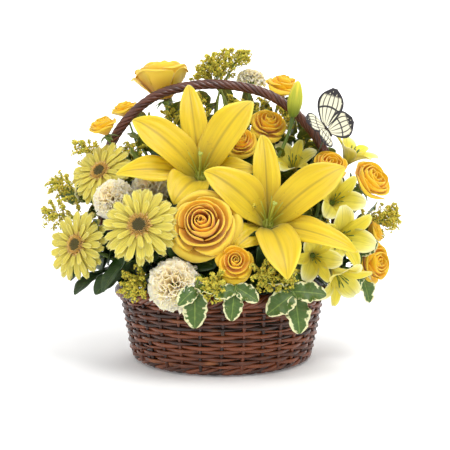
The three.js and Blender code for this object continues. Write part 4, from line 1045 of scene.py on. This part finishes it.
def alstroemeria_head(random):
    """Six petals, the green ovary, and six thin stamens."""
    parts = [alstroemeria_petal(k, random) for k in range(6)]
    parts.append(turned([(0.3, -6), (2, -5.5), (3.6, -2), (3.4, 2), (2.4, 5), (0.3, 6)], 12, 0.5, 1))
    t = np.linspace(0, 1, 7)
    for k in range(6):
        stamen = around(math.radians(60 * k + 25), 1 + 4.5 * t ** 1.5, 5 + 19 * t)
        parts.append(tube(stamen, [0.35, 0.35, 0.3, 0.3, 0.3, 0.75, 0.5], 6, 0.5, 1))
    return parts


ALSTROEMERIA_PETAL = petal_material("alstroemeria_petal", (170, 160, 40), (226, 208, 70), (246, 240, 176),
                                    0.45, 0.66, 0.6, 0.15, 0.25, 0.5)
ALSTROEMERIA_INNER = petal_material("alstroemeria_inner", (200, 176, 30), (234, 210, 50), (240, 228, 120),
                                    0.35, 0.8, 0.5, 0.15, 1.0, 0.4)
random_alstroemeria = np.random.default_rng(17)
for name, entry, fork, blooms in ALSTROEMERIAS:
    heads = []
    for at, face, size in blooms:
        heads += placed(alstroemeria_head(random_alstroemeria), at, face, size)
    add_piece(f"alstroemeria_{name}_blooms", sprayed(blooms, fork, entry, heads, 4, 1.9),
              [ALSTROEMERIA_PETAL, STEM_GREEN, ALSTROEMERIA_INNER], "alstroemeria_petal",
              f"alstroemeria_{name}")

# ------------------------------------------------------------------ goldenrod
# Goldenrod: arching twigs along a thin stem, each beaded on its upper side with tiny olive
# yellow florets.
GOLDENROD = [
    ("top", (84, "crown"), [(6, 30, 342), (0, 30, 318), (-2, 31, 292)]),
    ("upper_left", (172, "shoulder"), [(-162, 10, 236), (-142, 14, 222), (-112, 15, 196)]),
    ("left", (191, "side"), [(-194, -20, 158), (-168, -19, 154), (-132, -18, 138)]),
    ("middle", (282, "shoulder"), [(27, -84, 166), (25, -76, 154), (20, -70, 138)]),
    ("front", (291, "side"), [(42, -124, 100), (38, -114, 101), (32, -102, 100)]),
    ("front_left", (231, "side"), [(-86, -108, 86), (-78, -98, 94), (-68, -86, 98)]),
    ("right", (12, "side"), [(199, 12, 160), (176, 17, 151), (136, 20, 128)]),
    ("back", (98, "side"), [(-6, 128, 124), (-5, 116, 118), (-4, 102, 108)]),
    ("front_middle", (268, "side"), [(-6, -134, 90), (-5, -124, 94), (-4, -112, 97)]),
]
TWIGS, TWIG_REACH, FLORETS_PER_MM, PLUME_SPREAD = 16, 28.0, 2.0, 5.0


def floret():
    """A tiny open floret: five points round a bud."""
    ring, after = np.arange(10), np.roll(np.arange(10), -1)
    notch = ring % 2
    angle = np.linspace(0, 2 * np.pi, 10, endpoint=False)
    rim = around(angle, np.where(notch, 0.6, 1.55), np.where(notch, 0.5, 1.1))
    points = np.concatenate([rim, [[0, 0, 0.95], [0, 0, -0.5]]])
    tris = np.concatenate([np.stack([np.full(10, 10), ring, after], axis=1),
                           np.stack([np.full(10, 11), after, ring], axis=1)])
    lay = np.stack([points[:, 0], np.append(np.full(10, 1.0), [0.0, 0.0]), np.full(12, 0.5)], axis=1)
    return part(points, np.zeros((0, 4), int), tris, lay)


def goldenrod_plume(route, entry, space, random):
    """Twigs a golden angle apart up the stem, shorter towards its tip, with florets round each
    twig; what would reach past the spray's own space is left off."""
    low, high = (np.array(corner) / MM for corner in space)
    line = smooth_curve(route, 60)
    away = np.array(route[0], float) - route[1]
    parts = [tube(np.concatenate([line[:40], stem_path(line[40], away, entry, 10)[1:]]),
                  np.concatenate([np.linspace(0.7, 1.2, 40), np.full(10, 1.4)]), 6, 0.5, 1)]
    origins, faces = [], []
    for k in range(TWIGS):
        share = (k + 0.3) / TWIGS
        foot = line[int(share * 45)]
        ahead = unit(line[max(int(share * 45) - 2, 0)] - line[int(share * 45) + 2])
        side = unit(np.cross(ahead, (0.3, 0.2, 1)))
        other = np.cross(ahead, side)
        a = GOLDEN_ANGLE * k
        out = side * math.cos(a) + other * math.sin(a)
        reach = TWIG_REACH * (0.4 + 0.62 * share) * random.uniform(0.8, 1.15)
        t = np.linspace(0, 1, 12)[:, None]
        path = foot + reach * (0.75 * t * out + (0.72 * t - 0.2 * t ** 2) * ahead)
        path = path + [0, 0, 1] * (3 * t - 4 * t ** 2)
        keep = np.all((path > low + 1) & (path < high - 1), axis=1)
        path = path[:12 if keep.all() else int(np.argmin(keep))]
        if len(path) < 3:
            continue
        parts.append(tube(path, np.linspace(0.5, 0.3, len(path)), 5, 0.5, 1))
        count = int(FLORETS_PER_MM * reach * len(path) / 12)
        place = random.uniform(0.1, 1, count) * (len(path) - 1)
        before = place.astype(int)
        after = np.minimum(before + 1, len(path) - 1)
        base = path[before] + (place % 1)[:, None] * (path[after] - path[before])
        spread = unit(random.normal(size=(count, 3)) + [0, 0, 0.7])
        origins.append(base + spread * random.uniform(0.8, 2.4, count)[:, None])
        faces.append(spread)
    origins, faces = np.concatenate(origins), np.concatenate(faces)
    inside = np.all((origins > low + 2.4) & (origins < high - 2.4), axis=1)
    origins, faces = origins[inside], faces[inside]
    sizes = random.uniform(0.85, 1.35, len(origins))
    parts.append(scattered(floret(), origins, faces, sizes, random.uniform(size=len(origins))))
    return parts


def floret_group():
    """Each floret has its own colour between green buds and open yellow."""
    tree, given, output = new_group("florets", ["Bud", "Open"])
    _, along, tone = lay_of(tree)
    share = math_node(tree, "MULTIPLY_ADD", along, 0.35, times(tree, tone, 0.8))
    finish_group(tree, output, blend_colour(tree, share, given["Bud"], given["Open"]), tone)
    return tree


GOLDENROD_FLORET = grouped_material(
    "goldenrod_floret", floret_group(), {"Bud": linear(182, 180, 62), "Open": linear(246, 226, 84)},
    0.8, (0.0, 0.1), Subsurface_Weight=0.15, Subsurface_Scale=0.002)
GOLDENROD_TWIG = grouped_material(
    "goldenrod_twig", GREEN_STREAKS, {"Low": linear(96, 112, 44), "High": linear(136, 148, 66)},
    0.7, (0.2, 0.1))
for k, (name, entry, route) in enumerate(GOLDENROD):
    node = f"goldenrod_{name}"
    low, high = (np.array(corner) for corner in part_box(node))
    spread = PLUME_SPREAD * MM
    space = (np.maximum(low - spread, cad_box[0]), np.minimum(high + spread, cad_box[1]))
    add_piece(f"{node}_plume", goldenrod_plume(route, entry, space, np.random.default_rng(40 + k)),
              [GOLDENROD_FLORET, GOLDENROD_TWIG], "goldenrod_floret", node)

# ------------------------------------------------------------------ leafy sprigs
# Variegated pittosporum, green with wavy cream margins, and dark leathery salal.  Their leaves
# hang over the border and fill the space between the stems.
PITTOSPORUM = {"length": 35, "half_width": 11.5, "fullness": 0.5, "wave": 2.4, "droop": 0.15, "teeth": 0.05}
SALAL = {"length": 43, "half_width": 14, "fullness": 0.65, "wave": 0.7, "droop": 0.2, "teeth": 0.012}
SPRIGS = [
    ("pittosporum_front_left", (259, "side"), PITTOSPORUM,
     [(-24, -129, 88), (-22, -122, 95), (-20, -112, 98)],
     [(0, (0, -0.25, -1), (0, -1, 0.2), 1), (0.2, (-0.6, -0.5, -0.5), (0, -1, 0.5), 0.7),
      (0.3, (0.7, -0.6, -0.1), (0, -0.5, 1), 0.6)]),
    ("pittosporum_front", (284, "side"), PITTOSPORUM, [(12, -130, 88), (14, -122, 94), (16, -110, 97)],
     [(0, (-0.1, -0.3, -0.8), (0, -1, 0.2), 0.8), (0.2, (-0.8, -0.5, -0.2), (0, -0.8, 0.5), 0.66),
      (0.3, (0.8, -0.5, -0.4), (0, -0.8, 0.5), 0.75)]),
    ("pittosporum_right", (302, "side"), PITTOSPORUM, [(68, -116, 82), (62, -108, 92), (54, -96, 98)],
     [(0, (0.15, -0.25, -0.9), (0.3, -1, 0.2), 1.05), (0.1, (-0.7, -0.5, -0.4), (0, -1, 0.5), 1),
      (0.2, (0.9, -0.2, 0), (0.3, -0.8, 0.5), 0.95), (0.5, (0.9, 0.1, 0.3), (0.3, -0.8, 0.5), 0.8),
      (0.6, (-0.6, -0.7, 0.2), (0, -0.6, 0.8), 0.8)]),
    ("pittosporum_far_right", (344, "side"), PITTOSPORUM, [(146, -36, 96), (136, -34, 99), (120, -30, 101)],
     [(0, (0.3, -0.3, -0.8), (0.6, -0.8, 0.2), 1), (0.3, (-0.2, -0.7, -0.6), (0.3, -1, 0.4), 0.9),
      (0.5, (0.8, 0.3, -0.3), (0.5, -0.3, 0.8), 0.9)]),
    ("pittosporum_back", (84, "side"), PITTOSPORUM, [(14, 132, 92), (13, 122, 98), (11, 110, 100)],
     [(0, (0, 0.3, -0.9), (0, 1, 0.2), 1), (0.2, (0.8, 0.5, -0.3), (0, 0.8, 0.6), 0.82),
      (0.3, (-0.8, 0.4, -0.4), (0, 0.8, 0.6), 0.9)]),
    ("salal_left", (197, "side"), SALAL, [(-124, -40, 97), (-114, -36, 99), (-104, -32, 99)],
     [(0, (-0.6, -0.6, -0.3), (-0.5, -0.5, 0.7), 1), (0.5, (-0.9, 0.2, -0.2), (-0.3, -0.1, 1), 0.9),
      (0.7, (-0.2, -0.9, -0.35), (-0.2, -0.6, 0.8), 0.8)]),
    ("salal_front_left", (213, "side"), SALAL, [(-106, -66, 97), (-98, -62, 99), (-90, -57, 99)],
     [(0, (-0.5, -0.7, -0.35), (-0.3, -0.8, 0.5), 0.8), (0.6, (0.1, -0.9, -0.3), (0, -0.6, 0.8), 0.7)]),
]


def leaf(foot, way, up, kind, share, random, rows=24, cols=10):
    """A leaf along `way` with its face to `up`: an oval with a pointed tip, folded a little
    along its middle rib, with a toothed margin that waves and a tip that droops."""
    s, t = blade_grid(rows, cols)
    ahead = unit(way)
    side = unit(np.cross(ahead, up))
    face = np.cross(side, ahead)
    length, wave = kind["length"] * share, kind["wave"] * share
    oval = np.sin(np.pi * np.minimum(t, 0.997) ** 0.85) ** kind["fullness"]
    half = kind["half_width"] * share * (0.06 + 0.94 * oval)
    phase = random.uniform(0, 6)
    half = half * (1 + kind["teeth"] * np.sin(31 * t + phase + 2 * np.sign(s)))
    rise = (-kind["droop"] * length * t ** 2 + 0.22 * half * np.abs(s) ** 1.5
            + wave * s ** 2 * np.sin(15 * t + phase + 2 * np.sign(s)) * np.sin(np.pi * t))
    points = (np.array(foot, float) + ahead * (length * t * (1 - 0.35 * kind["droop"] * t))[..., None]
              + side * (s * half)[..., None] + face * rise[..., None])
    return blade(points, 0.6, s, t, random.uniform())


def leafy_sprig(route, entry, kind, leaves, random):
    """The stem, its leaves, and the short stalk of each."""
    line = smooth_curve(route, 30)
    away = np.array(route[0], float) - route[1]
    parts = [tube(np.concatenate([line[:15], stem_path(line[15], away, entry, 8)[1:]]), 1.5, 8, 0.5, 1)]
    for place, way, up, share in leaves:
        foot = line[int(place * 29)]
        parts.append(leaf(foot, way, up, kind, share, random))
        parts.append(tube([foot - 1.0 * unit(way), foot, foot + 4 * unit(way)], [0.8, 0.8, 0.4], 6, 0.5, 1))
    return parts


def leaf_group():
    """A leaf: green with a paler rib and side veins, and an uneven margin of its own colour."""
    tree, given, output = new_group("leaf", ["Green", "Pale", "Margin"], ["Margin Start"])
    across, along, tone = lay_of(tree)
    far = math_node(tree, "ABSOLUTE", across)
    patch = streaks(tree, across, along, tone, 2.6, 8.0)
    rib = fade(tree, far, 0.02, 0.09)
    slant = math_node(tree, "MULTIPLY_ADD", far, -0.16, along)
    comb = math_node(tree, "PINGPONG", times(tree, slant, 9.0), 0.5)
    vein = fade(tree, comb, 0.0, 0.1)
    lines = math_node(tree, "MAXIMUM", rib, times(tree, vein, 0.45))
    patchy = math_node(tree, "SUBTRACT", patch, 0.4)
    share = math_node(tree, "MULTIPLY_ADD", patchy, 0.9, times(tree, lines, 0.5))
    colour = blend_colour(tree, ease(tree, share, 0.0, 1.0), given["Green"], given["Pale"])
    tip = times(tree, math_node(tree, "POWER", along, 6.0), 0.35)
    out = math_node(tree, "ADD", math_node(tree, "MULTIPLY_ADD", patch, 1.3, far), tip)
    margin = ease(tree, math_node(tree, "SUBTRACT", out, given["Margin Start"]), 0.0, 0.14)
    colour = blend_colour(tree, margin, colour, given["Margin"])
    finish_group(tree, output, colour, math_node(tree, "SUBTRACT", 1.0, lines))
    return tree


LEAF = leaf_group()


def leaf_material(name, green, pale, margin, margin_start, roughness, bump, **shader):
    """A leaf finish: its green, the paler green of its veins, and the margin's own colour."""
    given = {"Green": linear(*green), "Pale": linear(*pale), "Margin": linear(*margin),
             "Margin Start": margin_start}
    return grouped_material(name, LEAF, given, roughness, bump, **shader)


PITTOSPORUM_LEAF = leaf_material("pittosporum_leaf", (66, 96, 30), (132, 156, 66), (228, 226, 174), 1.42,
                                 0.45, (0.4, 0.3), Subsurface_Weight=0.1, Subsurface_Scale=0.003)
SALAL_LEAF = leaf_material("salal_leaf", (34, 62, 16), (84, 112, 40), (60, 84, 30), 1.8,
                           0.42, (0.5, 0.4), Coat_Weight=0.08, Coat_Roughness=0.35)
MYRTLE_LEAF = leaf_material("myrtle_leaf", (86, 104, 30), (156, 160, 62), (176, 176, 84), 1.6,
                            0.5, (0.4, 0.3), Subsurface_Weight=0.1, Subsurface_Scale=0.003)
random_leaf = np.random.default_rng(3)
for name, entry, kind, route, leaves in SPRIGS:
    parts = leafy_sprig(route, entry, kind, leaves, random_leaf)
    if kind is PITTOSPORUM:
        add_piece(f"{name}_leaves", parts, [PITTOSPORUM_LEAF, STEM_GREEN], "pittosporum_leaf", name)
    else:
        add_piece(f"{name}_leaves", parts, [SALAL_LEAF, STEM_GREEN], "salal_leaf", name)

# ------------------------------------------------------------------ green filler
# The greens that a florist sets round and between the blooms to hide the foam: salal round its
# edge, pittosporum over its shoulder, and branches of light green myrtle and goldenrod between
# the blooms and in the arch.
MYRTLE = {"length": 30, "half_width": 9.5, "fullness": 0.7, "wave": 1.6, "droop": 0.25, "teeth": 0.02}
FILLERS = [
    ("salal", SALAL, SALAL_LEAF, "salal_leaf", [(34, 85, 97, -0.12, 0.88), (20, 60, 117, 0.9, 0.9)],
     [(-64, 22, 214), (88, 26, 214), (128, 34, 172), (-104, 62, 158), (126, 42, 120), (-118, 40, 138),
      (-34, -98, 112), (54, -98, 108), (-6, -56, 160), (40, 88, 150), (-30, 100, 134), (-124, -52, 132),
      (-98, -84, 108), (-60, -72, 146), (28, -84, 124), (100, -60, 120), (124, -2, 120), (12, 30, 216),
      (123, -40, 107), (-140, -30, 108)]),
    ("pittosporum", PITTOSPORUM, PITTOSPORUM_LEAF, "pittosporum_leaf", [(24, 76, 107, 0.35, 0.95)],
     [(158, 12, 152), (4, 100, 140), (-62, 84, 196), (72, 96, 184), (140, -40, 118), (96, 62, 168),
      (-40, 114, 130), (-152, -10, 176)]),
    ("myrtle", MYRTLE, MYRTLE_LEAF, "pittosporum_leaf", [(20, 42, 118, 1.6, 1.1)],
     [(-50, 44, 266), (-16, 48, 284), (10, 56, 290), (34, 56, 284), (58, 46, 270), (82, 40, 256),
      (-76, 26, 256), (98, 34, 238), (-94, 16, 240), (-106, 6, 216), (-112, -40, 160), (20, -62, 146),
      (84, -50, 150), (-20, -30, 190), (60, 10, 226), (-40, 20, 236), (24, 20, 244), (132, -4, 166),
      (110, -4, 184), (-130, -20, 176), (-92, -60, 150), (36, -30, 176), (-62, 48, 228), (24, 48, 232),
      (80, 76, 210), (-108, 60, 190), (130, 40, 190), (-86, -10, 212), (108, 20, 214), (-66, 34, 246),
      (46, 34, 258), (142, 6, 140), (-118, -8, 190), (-64, -10, 196), (-58, 40, 282), (-88, 30, 262),
      (70, 44, 286), (90, 30, 250), (112, 12, 228), (14, 44, 262), (28, 48, 270), (122, -6, 196),
      (140, 14, 184), (-126, 8, 168)]),
]
FILLER_PLUMES = [
    [(-26, 40, 290), (-27, 38, 264), (-26, 34, 232)], [(74, 34, 278), (70, 32, 256), (60, 28, 218)],
    [(-60, 38, 276), (-58, 36, 258), (-52, 32, 228)], [(196, 4, 152), (178, 8, 146), (140, 12, 130)],
    [(6, 36, 272), (6, 34, 250), (8, 30, 220)], [(-118, 30, 172), (-104, 32, 160), (-84, 30, 144)],
    [(70, 118, 138), (62, 106, 131), (50, 92, 124)], [(-86, 30, 258), (-80, 28, 238), (-66, 26, 206)],
    [(-24, 34, 322), (-14, 34, 313), (-5, 33, 296)], [(24, 32, 342), (15, 32, 331), (5, 32, 308)],
    [(-14, 28, 334), (-8, 29, 320), (-3, 30, 300)], [(98, 40, 244), (92, 38, 228), (80, 34, 200)],
    [(-182, -14, 190), (-166, -14, 182), (-130, -12, 158)],
    [(62, -118, 97), (56, -106, 102), (44, -92, 104)],
    [(-104, 12, 232), (-98, 14, 214), (-84, 16, 186)], [(180, 28, 134), (162, 29, 130), (130, 26, 120)],
    [(14, 42, 288), (13, 38, 264), (10, 32, 232)], [(46, 46, 288), (44, 42, 264), (38, 34, 232)],
]
BRANCH_LEAVES = 10


def collar(kind, count, radius, height, lift, share, random):
    """Leaves round the foam that point outwards and `lift` upwards from a circle on its skin."""
    parts = []
    for k in range(count):
        a = 2 * np.pi * (k + random.uniform(-0.25, 0.25)) / count
        out = around(a, 1, 0)
        way = out + [0, 0, lift + random.normal(0, 0.12)] + random.normal(0, 0.15, 3)
        up = out + [0, 0, 0.8] + random.normal(0, 0.2, 3)
        parts.append(leaf(radius * out + [0, 0, height], way, up, kind, share * random.uniform(0.8, 1.05),
                          random, 12, 6))
    return parts


def leafy_branch(tip, kind, random):
    """A stem that rises from the foam to its tip, with leaves a golden angle apart along it that
    turn their faces up and away from the middle."""
    tip = np.array(tip, float)
    away = around(math.atan2(tip[1], tip[0]), 1, 0)
    root = 45 * away + [0, 0, 100]
    line = smooth_curve([root, 0.55 * root + 0.45 * tip + [0, 0, 12], tip], 40)
    ahead = unit(np.gradient(line, axis=0))
    parts = [tube(line, np.linspace(1.5, 0.6, 40), 6, 0.5, 1)]
    for k in range(BRANCH_LEAVES):
        place = 39 - int(28 * k / BRANCH_LEAVES)
        side = unit(np.cross(ahead[place], (0.3, 1, 0.2)))
        other = np.cross(ahead[place], side)
        a = GOLDEN_ANGLE * k + random.normal(0, 0.2)
        out = side * math.cos(a) + other * math.sin(a)
        up = 0.5 * ahead[place] + away + random.normal(0, 0.35, 3)
        parts.append(leaf(line[place], (0.8 if k else 2) * ahead[place] + out, up, kind,
                          (0.78 + 0.03 * k) * random.uniform(0.85, 1.1), random, 12, 6))
    return parts


for name, kind, material, slot, collars, tips in FILLERS:
    greens = [p for ring in collars for p in collar(kind, *ring, random_leaf)]
    greens += [p for tip in tips for p in leafy_branch(tip, kind, random_leaf)]
    add_piece(f"filler_{name}", greens, [material, STEM_GREEN], slot)
for name, routes in (("inner", FILLER_PLUMES[::2]), ("outer", FILLER_PLUMES[1::2])):
    plumes = []
    for route in routes:
        azimuth = math.degrees(math.atan2(route[2][1], route[2][0]))
        plumes += goldenrod_plume(route, (azimuth, "crown"), cad_box, random_leaf)
    add_piece(f"filler_goldenrod_{name}", plumes, [GOLDENROD_FLORET, GOLDENROD_TWIG], "goldenrod_floret")

# ------------------------------------------------------------------ butterfly on its pick
# A paper butterfly with cream wings, dark borders and veins, glued to a wire that stands in the
# foam.
BUTTERFLY_AT, HEAD_WAY = (112, -22, 248), (-0.62, -0.2, 0.76)
WING_WAYS = [(0.74, 0.1, 0.66), (-0.5, -0.8, -0.34)]
WINGS, WING_SIZES = [(0.7, 42, 15, 3), (-0.3, 31, 15.5, -3)], (1.0, 0.78)


def butterfly():
    """Fore and hind wings on both sides of a spindle body, with two feelers and the wire."""
    up = unit(HEAD_WAY)
    body = [(0.1, -11), (1, -9.5), (1.6, -6), (1.9, 0), (1.5, 4), (1.9, 6), (1.5, 8.5), (0.1, 10)]
    parts = placed([turned(body, 14, 0.5, 1)], BUTTERFLY_AT, HEAD_WAY)
    s, t = blade_grid(16, 12)
    for spread, size in zip(WING_WAYS, WING_SIZES):
        for lean, length, half_width, shift in WINGS:
            length, half_width = length * size, half_width * size
            way = unit(unit(spread) + lean * up)
            side = unit(up - way * (up @ way))
            bow = np.cross(side, way)
            oval = np.sin(np.pi * np.minimum(t, 0.975) ** 1.35) ** 0.62
            half = half_width * (0.1 + 0.9 * oval) * (1 - 0.4 * t ** 10)
            points = (np.array(BUTTERFLY_AT) + up * shift + way * (length * t)[..., None]
                      + side * (s * half)[..., None]
                      + bow * (1.5 * np.sin(np.pi * t) - 0.9 * s ** 2)[..., None])
            parts.append(blade(points, 0.5, s, t, 0.5))
    for sign in (-1, 1):
        tip = np.array(BUTTERFLY_AT) + 10 * up
        bend = unit(np.cross(up, (0, -1, 0)))
        path = smooth_curve([tip - up, tip + 4 * up + sign * 1.5 * bend, tip + 9 * up + sign * 4.5 * bend], 8)
        parts.append(tube(path, [0.3] * 7 + [0.6], 5, 0.5, 1))
    parts.append(tube(stem_path(BUTTERFLY_AT, (0.2, 0, 1), (344, "crown"), 24), 0.7, 8, 0.5, 2))
    return parts


def wing_group():
    """Cream wings: dark veins that fan out from the root, and a dark border with pale dots."""
    tree, given, output = new_group("wing", ["Cell", "Line"])
    across, along, tone = lay_of(tree)
    far = math_node(tree, "ABSOLUTE", across)
    fan = math_node(tree, "PINGPONG", math_node(tree, "MULTIPLY_ADD", across, 2.8, 0.5), 0.5)
    vein = fade(tree, fan, 0.06, 0.15)
    bow = math_node(tree, "MULTIPLY_ADD", times(tree, far, far), 0.12, along)
    bar = math_node(tree, "ABSOLUTE", math_node(tree, "SUBTRACT", bow, 0.52))
    cross = fade(tree, bar, 0.015, 0.035)
    edge = math_node(tree, "MAXIMUM", ease(tree, far, 0.76, 0.84), ease(tree, along, 0.76, 0.83))
    dots = cell_distance(tree, across, along, 0.0, 4.0, 11.0)
    edge = times(tree, edge, ease(tree, dots, 0.16, 0.24))
    dark = math_node(tree, "MAXIMUM", math_node(tree, "MAXIMUM", vein, cross), edge)
    finish_group(tree, output, blend_colour(tree, dark, given["Cell"], given["Line"]), dark)
    return tree


WING_PAPER = grouped_material(
    "wing_paper", wing_group(), {"Cell": linear(240, 236, 206), "Line": linear(44, 40, 44)}, 0.6, (0.3, 0.15))
BUTTERFLY_BODY = grouped_material(
    "butterfly_body", MOTTLE, {"Low": linear(30, 26, 24), "High": linear(70, 62, 54), "Scale": 900.0},
    0.7, (0.4, 0.2))
PICK_WIRE = grouped_material(
    "pick_wire", MOTTLE, {"Low": linear(52, 74, 44), "High": linear(70, 92, 58), "Scale": 300.0},
    0.4, (0.1, 0.1))
add_piece("butterfly", butterfly(), [WING_PAPER, BUTTERFLY_BODY, PICK_WIRE], "butterfly_wing",
          "butterfly_pick")

# ------------------------------------------------------------------ floor, light and camera
# A white sweep under soft studio light from the right and above, seen from in front.
CAMERA_AT, CAMERA_PITCH, LENS = (0.0033, -0.700, 0.165), 1.682, 50.4


def floor_and_sweep():
    """A flat floor that curves up into a backdrop behind."""
    half, front, back, bend = 4.0, -3.0, 3.0, 0.8
    turn = np.linspace(0, np.pi / 2, 16)
    curve = np.stack([back + bend * np.sin(turn), bend - bend * np.cos(turn)], axis=1)
    profile = np.concatenate([[[front, 0]], curve, [[back + bend, 5.0]]])
    points = np.concatenate([np.column_stack([np.full(len(profile), x), profile]) for x in (-half, half)])
    count = len(profile)
    quads = [(k, k + count, k + count + 1, k + 1) for k in range(count - 1)]
    mesh = bpy.data.meshes.new("studio_floor")
    mesh.from_pydata(points.tolist(), [], quads)
    mesh.shade_smooth()
    material = bpy.data.materials.new("studio_white")
    material.use_nodes = True
    white = {"Base Color": (0.94, 0.94, 0.94, 1), "Roughness": 0.9, "Emission Color": (1, 1, 1, 1),
             "Emission Strength": 0.1}
    for key, value in white.items():
        material.node_tree.nodes["Principled BSDF"].inputs[key].default_value = value
    mesh.materials.append(material)
    floor = bpy.data.objects.new("studio_floor", mesh)
    bpy.context.scene.collection.objects.link(floor)


def area_light(name, at, aim, size, power):
    """A soft square light that points from `at` to `aim`."""
    data = bpy.data.lights.new(name, "AREA")
    data.size, data.energy = size, power
    light = bpy.data.objects.new(name, data)
    bpy.context.scene.collection.objects.link(light)
    way = np.array(aim) - np.array(at)
    light.location = at
    light.rotation_euler = (math.acos(-unit(way)[2]), 0, math.atan2(way[1], way[0]) - math.pi / 2)
    return light


floor_and_sweep()
area_light("key", (0.6, -0.9, 1.9), (0, 0, 0.15), 1.0, 23)
area_light("fill", (-1.3, -1.3, 0.8), (0, 0, 0.15), 1.2, 4)
area_light("back", (0.2, 1.5, 1.6), (0, 0, 0.2), 1.0, 8)
area_light("backdrop", (0, 1.3, 1.8), (0, 3.7, 0.9), 2.0, 90)

scene = bpy.context.scene
scene.world = scene.world or bpy.data.worlds.new("studio")
scene.world.use_nodes = True
world_tree = scene.world.node_tree
background = world_tree.nodes["Background"]
background.inputs["Color"].default_value = (1, 1, 1, 1)
straight = world_tree.nodes.new("ShaderNodeLightPath").outputs["Is Camera Ray"]
world_tree.links.new(math_node(world_tree, "MULTIPLY_ADD", straight, 0.2, 0.8), background.inputs["Strength"])
scene.view_settings.view_transform = "Standard"

camera_data = bpy.data.cameras.new("camera")
camera_data.lens, camera_data.sensor_width, camera_data.sensor_fit = LENS, 36, "HORIZONTAL"
camera = bpy.data.objects.new("camera", camera_data)
scene.collection.objects.link(camera)
camera.location = CAMERA_AT
camera.rotation_euler = (math.radians(90 - CAMERA_PITCH), 0, 0)
scene.camera = camera
